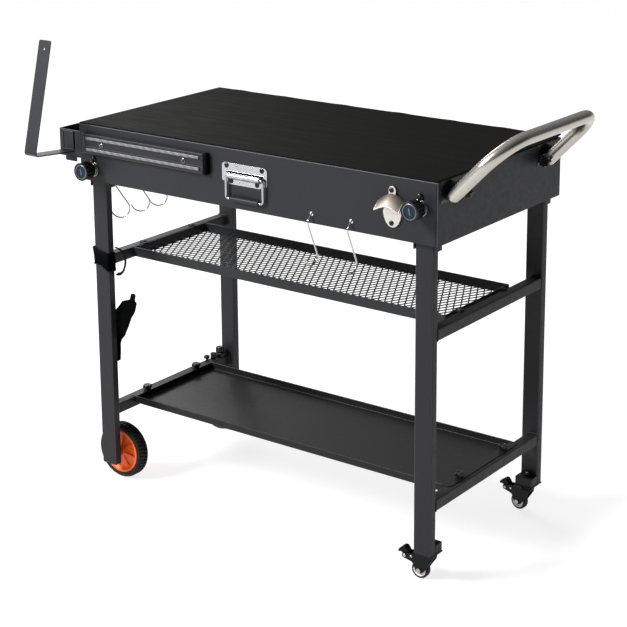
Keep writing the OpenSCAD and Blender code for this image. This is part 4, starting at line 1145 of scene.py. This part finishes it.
# ---------------------------------------------------------------- wheels
def wheel(sy, tag):
    R, W, hub = 65.7, 31.0, 52.6
    o, ax = (-435, -194, R), (0, 1, 0)
    body = "wheel_" + tag
    nb = 46
    half = [(hub, 0.6), (54.2, 0.2), (56.4, 0.0), (57.0, 0.5), (57.8, 0.5), (58.4, 0.0), (60.4, 0.2), (62.0, 1.2), (63.4, 2.6), (64.6, 4.2), (65.3, 5.4), (65.7, 7.0), (65.7, 9.2), (65.7, 11.6), (65.7, 13.6), (63.8, 14.1)]
    prof = half + [(63.8, 15.5)] + [(r, W - t) for r, t in reversed(half)]
    def tread(r, t, a, k):
        if r < 62.8 or abs(t - 15.5) < 1.9:
            return r, t
        side = 0.5 if t > 15.5 else 0.0
        ph = (a / (2 * math.pi) * nb + side + 0.12 * abs(t - 15.5) / 10) % 1.0
        cut = 0.0 if ph > 0.34 else 1.0
        return r - 2.3 * cut * min(1.0, (r - 62.4) / 1.6), t
    tyre = revolve(prof, o, ax, nb * 8, closed=True, warp=tread)
    make("tyre_%s_tread" % tag, mirror_if(tyre, sy), body, TYRE, "tyre_" + tag, 30, False)
    face = [(6.2, 0.2), (11.2, 0.2), (12.0, 0.9), (12.6, 4.6), (14, 5.6), (24, 6.4), (36, 6.9), (40.5, 6.4), (43.5, 4.6), (46.0, 2.2), (47.4, 1.0), (48.6, 0.5), (50.4, 0.5), (51.6, 0.9), (hub, 1.6)]
    back = [(hub, W - 1.6), (51.6, W - 1.0), (49, W - 0.8), (47.4, W - 1.6), (42, W - 8), (40, W - 9), (14, W - 7.4), (12.4, W - 6.2), (12, W - 0.8), (11.2, W - 0.2), (6.2, W - 0.2)]
    parts = [revolve(face + back, o, ax, 96, closed=True)]
    for i in range(8):
        t = math.radians(i * 45 + 11)
        rib = rbox(15, -1.1, 0, 40, 1.1, 3.2, 0.7, 2)
        moved(rib, rz=0)
        m = Matrix.Translation(o) @ Matrix.Rotation(t, 4, "Y") @ Matrix.Translation((0, 3.6, 0)) @ Matrix.Rotation(math.radians(-90), 4, "X")
        bmesh.ops.transform(rib, matrix=m, verts=rib.verts)
        parts.append(rib)
    make("hub_%s_disc" % tag, mirror_if(group(*parts), sy), body, HUB, "hub_" + tag, 34)


# ---------------------------------------------------------------- casters
def caster(sy, yaw, tag):
    M = Matrix.Translation((435, sy * 201.5, 0)) @ Matrix.Rotation(math.radians(yaw), 4, "Z")
    def at(bm):
        bmesh.ops.transform(bm, matrix=M, verts=bm.verts)
        return bm
    cheek = smooth_outline([(13.5, 53), (13, 48), (-7, 18), (-13, 13), (-21, 12), (-26.5, 16), (-34, 34), (-57, 39), (-60, 44), (-58, 49), (-36, 53)], [2, 6, 5, 4, 4, 6, 10, 4, 3, 4, 6], 4)
    parts = []
    for s in (-1, 1):
        c = s * 9.6
        parts.append(prism(cheek, "y", c - 0.9, c + 0.9, 0.5, 2))
    tops = [rbox(-32, -10.5, 51, 14, 10.5, 53.6, 1.2, 2)]
    tops.append(revolve([(4.1, 53.4), (15.4, 53.4), (17, 54.6), (17, 56.2), (16.1, 57), (16.1, 57.6), (17, 58.4), (17, 60.0), (15.8, 61.2), (4.1, 61.2)], (0, 0, 0), (0, 0, 1), 56, closed=True))
    make("fork_%s_swivel" % tag, at(group(*tops)), "caster_" + tag, BLACK_GLOSS, "fork_" + tag, 32)
    make("fork_%s_cheeks" % tag, at(group(*parts)), "caster_" + tag, BLACK_GLOSS, "fork_" + tag, 32)
    bright = [cyl((-18.6, -13, 19.3), (0, 1, 0), 26, 2.9, 20, 0.4)]
    for s in (-1, 1):
        bright.append(hexnut((-18.6, s * 10.5, 19.3), (0, s, 0), 2.8, 5.4, 0.5, spin=12))
        bright.append(revolve([(2.9, 0), (3.6, 0.1), (3.6, 0.9), (2.6, 1.8), (0, 2.0)], (-53, s * 10.5, 44.5), (0, s, 0), 20))
        bright.append(revolve([(2.3, 0), (2.9, 0.1), (2.9, 0.7), (2.1, 1.3), (0, 1.5)], (-37, s * 10.5, 46.5), (0, s, 0), 20))
    bright.append(cyl((-53, -11, 44.5), (0, 1, 0), 22, 2.85, 18, 0.3))
    make("fork_%s_rivets" % tag, at(group(*bright)), "caster_" + tag, ZINC, "fork_" + tag, 35)
    ped = smooth_outline([(-43, 48), (-48, 57), (-53, 62.5), (-59, 62.5), (-66, 57), (-70.5, 51.5), (-68.5, 48), (-63, 49.5), (-57.5, 46.5), (-52, 39.5), (-44, 39.5)], [2.5, 5, 3.5, 4, 5, 1.6, 1.2, 4, 5, 2.5, 2.5], 4)
    p = prism(ped, "y", -8, 8, 1.0, 3)
    p = boolean(p, [cyl((-53, -12, 44.5), (0, 1, 0), 24, 3.0, 20)])
    ridges = []
    for k in range(4):
        a = Vector((-57.5 - k * 2.6, 0, 62.3 - k * 2.15))
        ridges.append(cyl((a.x, -6.6, a.z), (0, 1, 0), 13.2, 0.75, 8, 0.25))
    make("pedal_%s_lever" % tag, at(group(p, *ridges)), "brake_" + tag, PEDAL, "pedal_" + tag, 34)
    o, ax = (-18.6, -7.5, 19.3), (0, 1, 0)
    tyre = revolve([(14.5, 0.3), (15.6, 0.0), (17.2, 0.2), (18.4, 0.9), (19.1, 2.0), (19.3, 3.4), (19.3, 7.5), (19.3, 11.6), (19.1, 13.0), (18.4, 14.1), (17.2, 14.8), (15.6, 15.0), (14.5, 14.7)], o, ax, 72, closed=True)
    make("caster_tyre_%s_band" % tag, at(tyre), "caster_wheel_" + tag, TYRE, "caster_tyre_" + tag, 40, False)
    rim = [(3.0, 0.2), (5.8, 0.2), (6.3, 0.6), (6.9, 2.2), (7.6, 2.7), (10.6, 2.7), (11.3, 2.2), (11.9, 1.0), (12.5, 0.5), (13.8, 0.4), (14.5, 0.8)]
    rim += [(r, 15 - t) for r, t in reversed(rim)]
    make("caster_rim_%s_disc" % tag, at(revolve(rim, o, ax, 64, closed=True)), "caster_wheel_" + tag, RIM_WHITE, "caster_rim_" + tag, 36)


def caster_mounts():
    blocks, plates, nuts, tops = [], [], [], []
    for sy in (-1, 1):
        b = rbox(414, -210, 65, 456, -185, 85, 2.0, 3)
        b = boolean(b, [cyl((435, -201.5, 60), (0, 0, 1), 30, 4.15, 24)])
        blocks.append(mirror_if(b, sy))
        plates.append(mirror_if(rbox(413, -230, 62, 457, -184, 65, 0.8, 2), sy))
        nuts.append(mirror_if(cyl((435, -201.5, 46), (0, 0, 1), 48, 3.95, 24, 0.5), sy))
        nuts.append(mirror_if(hexnut((435, -201.5, 47), (0, 0, 1), 3.6, 6.9, 0.5), sy))
        tops.append(mirror_if(hexnut((435, -201.5, 85), (0, 0, 1), 6.5, 7.5, 0.9), sy))
    make("caster_block_tubes", group(*blocks), "table", LEG, "caster_blocks", 32)
    make("caster_mount_plates", group(*plates), "table", BLACK_GLOSS, "caster_mounts", 32)
    make("caster_mount_topnuts", group(*tops), "table", SCREW_DARK, "caster_mounts", 32)
    make("caster_mount_nuts", group(*nuts), "table", ZINC, "caster_mounts", 32)


# ---------------------------------------------------------------- hooks
def hook_path(k):
    """Centre line in the XZ plane, as the part's source bends it."""
    pos, th, out = Vector((-14.5 * k, -12.0 * k)), 0.0, []
    def add(p):
        out.append(Vector((p.x, 0, p.y)))
    def go(l):
        nonlocal pos
        pos = pos + Vector((math.sin(th), math.cos(th))) * l
        add(pos)
    def bend(b, deg):
        nonlocal pos, th
        s = 1 if deg > 0 else -1
        c = pos + Vector((math.cos(th), -math.sin(th))) * (b * s)
        a0 = th
        n = max(4, int(abs(deg) / 9))
        for i in range(1, n + 1):
            t = a0 + math.radians(deg) * i / n
            add(c - Vector((math.cos(t), -math.sin(t))) * (b * s))
        th = a0 + math.radians(deg)
        pos = c - Vector((math.cos(th), -math.sin(th))) * (b * s)
    add(pos)
    go(5.5 * k); bend(9 * k, 135); go(10 * k); bend(12 * k, 69); go(34 * k); go(34.3 * k); bend(18 * k, -189); go(3 * k)
    return out


def hooks():
    def build(name, body, node, m, k):
        bm = wire(hook_path(k), 1.8, 14, up=(0, 1, 0))
        bmesh.ops.transform(bm, matrix=m, verts=bm.verts)
        make(name, bm, body, WIRE, node, 60)
    rz = lambda a: Matrix.Rotation(math.radians(a), 4, "Z")
    for x, b, n in ((171, "hook_a", "hook_front_a"), (270, "hook_b", "hook_front_b")):
        build(n + "_wire", b, n, Matrix.Translation((x, -HY, 749)) @ rz(-90), 1.0)
    for y, b, n in ((-147, "hook_c", "hook_side_a"), (-79.5, "hook_d", "hook_side_b"), (-17.5, "hook_e", "hook_side_c")):
        build(n + "_wire", b, n, Matrix.Translation((-HX, y, 746.7)) @ rz(215.5) @ Matrix.Rotation(math.radians(9), 4, "Y"), 1.2)


# ---------------------------------------------------------------- strap
def interp(tab, x):
    if x <= tab[0][0]:
        return tab[0][1]
    for (a, p), (b, q) in zip(tab, tab[1:]):
        if x <= b:
            t = (x - a) / (b - a)
            t = t * t * (3 - 2 * t)
            return p + (q - p) * t
    return tab[-1][1]


def strap():
    base = rrect(42.4, 20.4, 3.5, 6, -435, -220)
    pts = resample([Vector((a, b, 0)) for a, b in base] + [Vector((*base[0], 0))], 2.5)[:-1]
    lo_t = [(-459, 533), (-451, 532), (-437, 530), (-424, 523), (-414, 518), (-405, 516), (-397, 518)]
    hi_t = [(-459, 572), (-452, 570), (-446, 567), (-438, 565), (-428, 563), (-416, 561), (-405, 560)]
    rnd = random.Random(3)
    bm = bmesh.new()
    rings = []
    cuts = 8
    n = len(pts)
    for i, p in enumerate(pts):
        q, r = pts[i - 1], pts[(i + 1) % n]
        nrm = (r - q).normalized().cross(Vector((0, 0, 1)))
        front = p.y < -229
        back = p.y > -211
        x = p.x
        l, h = interp(lo_t, x), interp(hi_t, x)
        if back:
            l, h = l + 4, min(h, 560)
        w = []
        for c in range(cuts + 1):
            t = c / cuts
            z = l + (h - l) * t
            bulge = 1.1 + 0.5 * math.sin(x * 0.21 + t * 2.2) + 0.35 * math.sin(x * 0.55 - t * 5)
            if x < -446:
                bulge += 2.6 * t * min(1, (-446 - x) / 8)
            w.append((z, max(0.5, bulge)))
        inner = [bm.verts.new(p + nrm * 0.3 * 1 + Vector((0, 0, z))) for z, b in w]
        outer = [bm.verts.new(p + nrm * (b + 1.7) + Vector((0, 0, z))) for z, b in w]
        rings.append(inner + outer[::-1])
    m = len(rings[0])
    for i in range(n):
        a, b = rings[i], rings[(i + 1) % n]
        for j in range(m):
            bm.faces.new((a[j], b[j], b[(j + 1) % m], a[(j + 1) % m]))
    make("leg_strap_band", bm, "table", WEB_BAND, "leg_strap", 50, False)
    # hem along the band's lower edge, in HEM's painted highlight grey
    edge = []
    for i, p in enumerate(pts):
        q, r = pts[i - 1], pts[(i + 1) % n]
        nrm = (r - q).normalized().cross(Vector((0, 0, 1)))
        edge.append(p + nrm * 2.6 + Vector((0, 0, interp(lo_t, p.x) + (4 if p.y > -211 else 0))))
    make("leg_strap_hem", sweep(edge, circle(1.5, 8), up=(0, 0, 1), loop=True), "table", HEM, "leg_strap", 50)
    # loop that stands out beside the leg
    loop = []
    for k in range(25):
        a = math.radians(-90 + 180 * k / 24)
        loop.append(Vector((-411.2 + 27.7 * math.cos(a), -207.5 + 1.4 * math.sin(3 * a), 540 + 31.8 * math.sin(a))))
    bm = sweep(loop, lambda i, d: rrect(2.4 + 3.4 * max(0.0, 1 - abs(i - 4) / 5.0), 9, 1.0, 3), up=(1, 0, 0))
    make("strap_ring_loop", bm, "table", LOOP, "strap_ring", 50, False)
    poly = smooth_outline([(-371, 468), (-355, 472), (-362, 451), (-355, 449), (-364, 425), (-374, 409), (-381, 387), (-393, 364), (-409, 349), (-413, 339), (-411, 300), (-425, 294), (-428, 340), (-432, 380), (-425, 415), (-410, 431), (-400, 445), (-379, 452)], 4, 3)
    cut = prism(poly, "y", -240, -170)
    xs = [-440 + 3 * i for i in range(32)]
    zs = [286 + 3 * i for i in range(66)]
    bm = bmesh.new()
    def yy(x, z):
        return -205.2 + 2.2 * math.sin((x + 0.4 * z) * 0.085) + 1.6 * math.sin(z * 0.06)
    f = [[bm.verts.new((x, yy(x, z) - 1.1, z)) for z in zs] for x in xs]
    g = [[bm.verts.new((x, yy(x, z) + 1.1, z)) for z in zs] for x in xs]
    nx, nz = len(xs), len(zs)
    for i in range(nx - 1):
        for j in range(nz - 1):
            bm.faces.new((f[i][j], f[i + 1][j], f[i + 1][j + 1], f[i][j + 1]))
            bm.faces.new((g[i][j], g[i][j + 1], g[i + 1][j + 1], g[i + 1][j]))
    for i in range(nx - 1):
        bm.faces.new((f[i][0], g[i][0], g[i + 1][0], f[i + 1][0]))
        bm.faces.new((f[i][-1], f[i + 1][-1], g[i + 1][-1], g[i][-1]))
    for j in range(nz - 1):
        bm.faces.new((f[0][j], f[0][j + 1], g[0][j + 1], g[0][j]))
        bm.faces.new((f[-1][j], g[-1][j], g[-1][j + 1], f[-1][j + 1]))
    bmesh.ops.recalc_face_normals(bm, faces=bm.faces)
    bm = boolean(bm, [cut], "INTERSECT")
    return make("strap_tail_web", bm, "table", WEB, "strap_tail", 40, False)


def bar_clip():
    parts = [cyl((-452.8, 148.5, 185), (0, 0, 1), 5, 3, 20),
             star_knob((-452.8, 148.5, 188.5), (0, 0, 1), 4, 0.8, 7.5, 7.4, 6, 0.22),
             rbox(-454, 163, 185, -443, 173, 200, 1.5, 3),
             rbox(-455, 182, 185, -433, 202, 195, 1.5, 3),
             star_knob((-446, 192, 194), (0, 0, 1), 6, 1.5, 11, 13, 6, 0.22)]
    make("bar_clip_parts", group(*parts), "table", BLACK_SATIN, "bar_clip", 32)


table_shell()
top_mat()
pivot_bolts()
for _x in (-1, 1):
    for _y in (-1, 1):
        leg(_x, _y)
bars(-1, "left_bars")
bars(1, "right_bars")
leg_plugs()
caddy()
towel()
magnet_bar()
screws()
carry()
opener()
push_handle()
push_brackets()
push_knobs()
for _b, _x, _y, _n in (("lock_knob_a", -1, -1, "lock_knob_left_front"), ("lock_knob_b", -1, 1, "lock_knob_left_back"),
                       ("lock_knob_c", 1, -1, "lock_knob_right_front"), ("lock_knob_d", 1, 1, "lock_knob_right_back")):
    lock_knob(_x, _y, _b, _n)
shelf()
tray()
wheel(-1, "front")
wheel(1, "back")
caster(-1, 3, "front")
caster(1, -7, "back")
caster_mounts()
hooks()
tail = strap()
bar_clip()
paint("leg_brackets", FRAME)
paint("axle_stubs", ZINC)


# ---------------------------------------------------------------- floor and light
def stage():
    a = Mat("floor_pale", 0.9, spec=0.1)
    c = a.ramp(a.noise(0.8, 2), [(0.3, (0.36, 0.36, 0.36, 1)), (0.7, (0.38, 0.38, 0.38, 1))])
    a.color(c)
    a.b.inputs["Emission Color"].default_value = (1, 1, 1, 1)
    ln = a.n("ShaderNodeVectorMath", operation="LENGTH")
    a.link(a.co, ln.inputs[0])
    mr = a.n("ShaderNodeMapRange")
    for k, v in (("From Min", 0.35), ("From Max", 1.2), ("To Min", 0.77), ("To Max", 0.83)):
        mr.inputs[k].default_value = v
    a.link(ln.outputs["Value"], mr.inputs["Value"])
    a.link(mr.outputs[0], a.b.inputs["Emission Strength"])
    bm = bmesh.new()
    n, s = 16, 40.0
    g = [[bm.verts.new((-s + 2 * s * i / n, -s + 2 * s * j / n, 0)) for j in range(n + 1)] for i in range(n + 1)]
    for i in range(n):
        for j in range(n):
            bm.faces.new((g[i][j], g[i + 1][j], g[i + 1][j + 1], g[i][j + 1]))
    me = bpy.data.meshes.new("floor")
    bm.to_mesh(me)
    bm.free()
    me.materials.append(a.m)
    floor = bpy.data.objects.new("floor", me)
    bpy.context.scene.collection.objects.link(floor)
    floor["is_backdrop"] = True

    w = bpy.data.worlds.new("studio")
    bpy.context.scene.world = w
    w.use_nodes = True
    bg = w.node_tree.nodes["Background"]
    # a bright soft ceiling that falls off towards the horizon, a little darker to the right
    t = w.node_tree
    co = t.nodes.new("ShaderNodeTexCoord")
    sep = t.nodes.new("ShaderNodeSeparateXYZ")
    t.links.new(co.outputs["Generated"], sep.inputs[0])
    rise = t.nodes.new("ShaderNodeValToRGB")
    e = rise.color_ramp.elements
    e[0].position, e[0].color = 0.0, (0.13, 0.13, 0.135, 1)
    e[1].position, e[1].color = 1.0, (0.34, 0.34, 0.34, 1)
    for pos, v in ((0.3, 0.16), (0.62, 0.26)):
        k = e.new(pos)
        k.color = (v, v, v, 1)
    t.links.new(sep.outputs["Z"], rise.inputs["Fac"])
    side = t.nodes.new("ShaderNodeMapRange")
    side.inputs["From Min"].default_value = -0.6
    side.inputs["From Max"].default_value = 0.9
    side.inputs["To Min"].default_value = 1.15
    side.inputs["To Max"].default_value = 0.12
    t.links.new(sep.outputs["X"], side.inputs["Value"])
    mul = t.nodes.new("ShaderNodeMath")
    mul.operation = "MULTIPLY"
    mul.inputs[1].default_value = 1.9
    t.links.new(side.outputs[0], mul.inputs[0])
    t.links.new(rise.outputs["Color"], bg.inputs["Color"])
    t.links.new(mul.outputs[0], bg.inputs["Strength"])

    def area(name, loc, target, size, power):
        li = bpy.data.lights.new(name, "AREA")
        li.shape = "RECTANGLE"
        li.size, li.size_y = size
        li.energy = power
        o = bpy.data.objects.new(name, li)
        bpy.context.scene.collection.objects.link(o)
        o.location = Vector(loc)
        o.rotation_euler = (Vector(target) - Vector(loc)).to_track_quat("-Z", "Y").to_euler()
        o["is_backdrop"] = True
    area("light_key", (-2.4, -3.2, 3.2), (0, 0, 0.4), (1.5, 1.5), 330)
    area("light_back", (-3.4, 2.2, 2.6), (0, 0, 0.4), (1.6, 1.2), 50)
    bpy.context.scene.view_settings.view_transform = "Standard"
    bpy.context.scene.view_settings.look = "None"


stage()

_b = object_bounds()
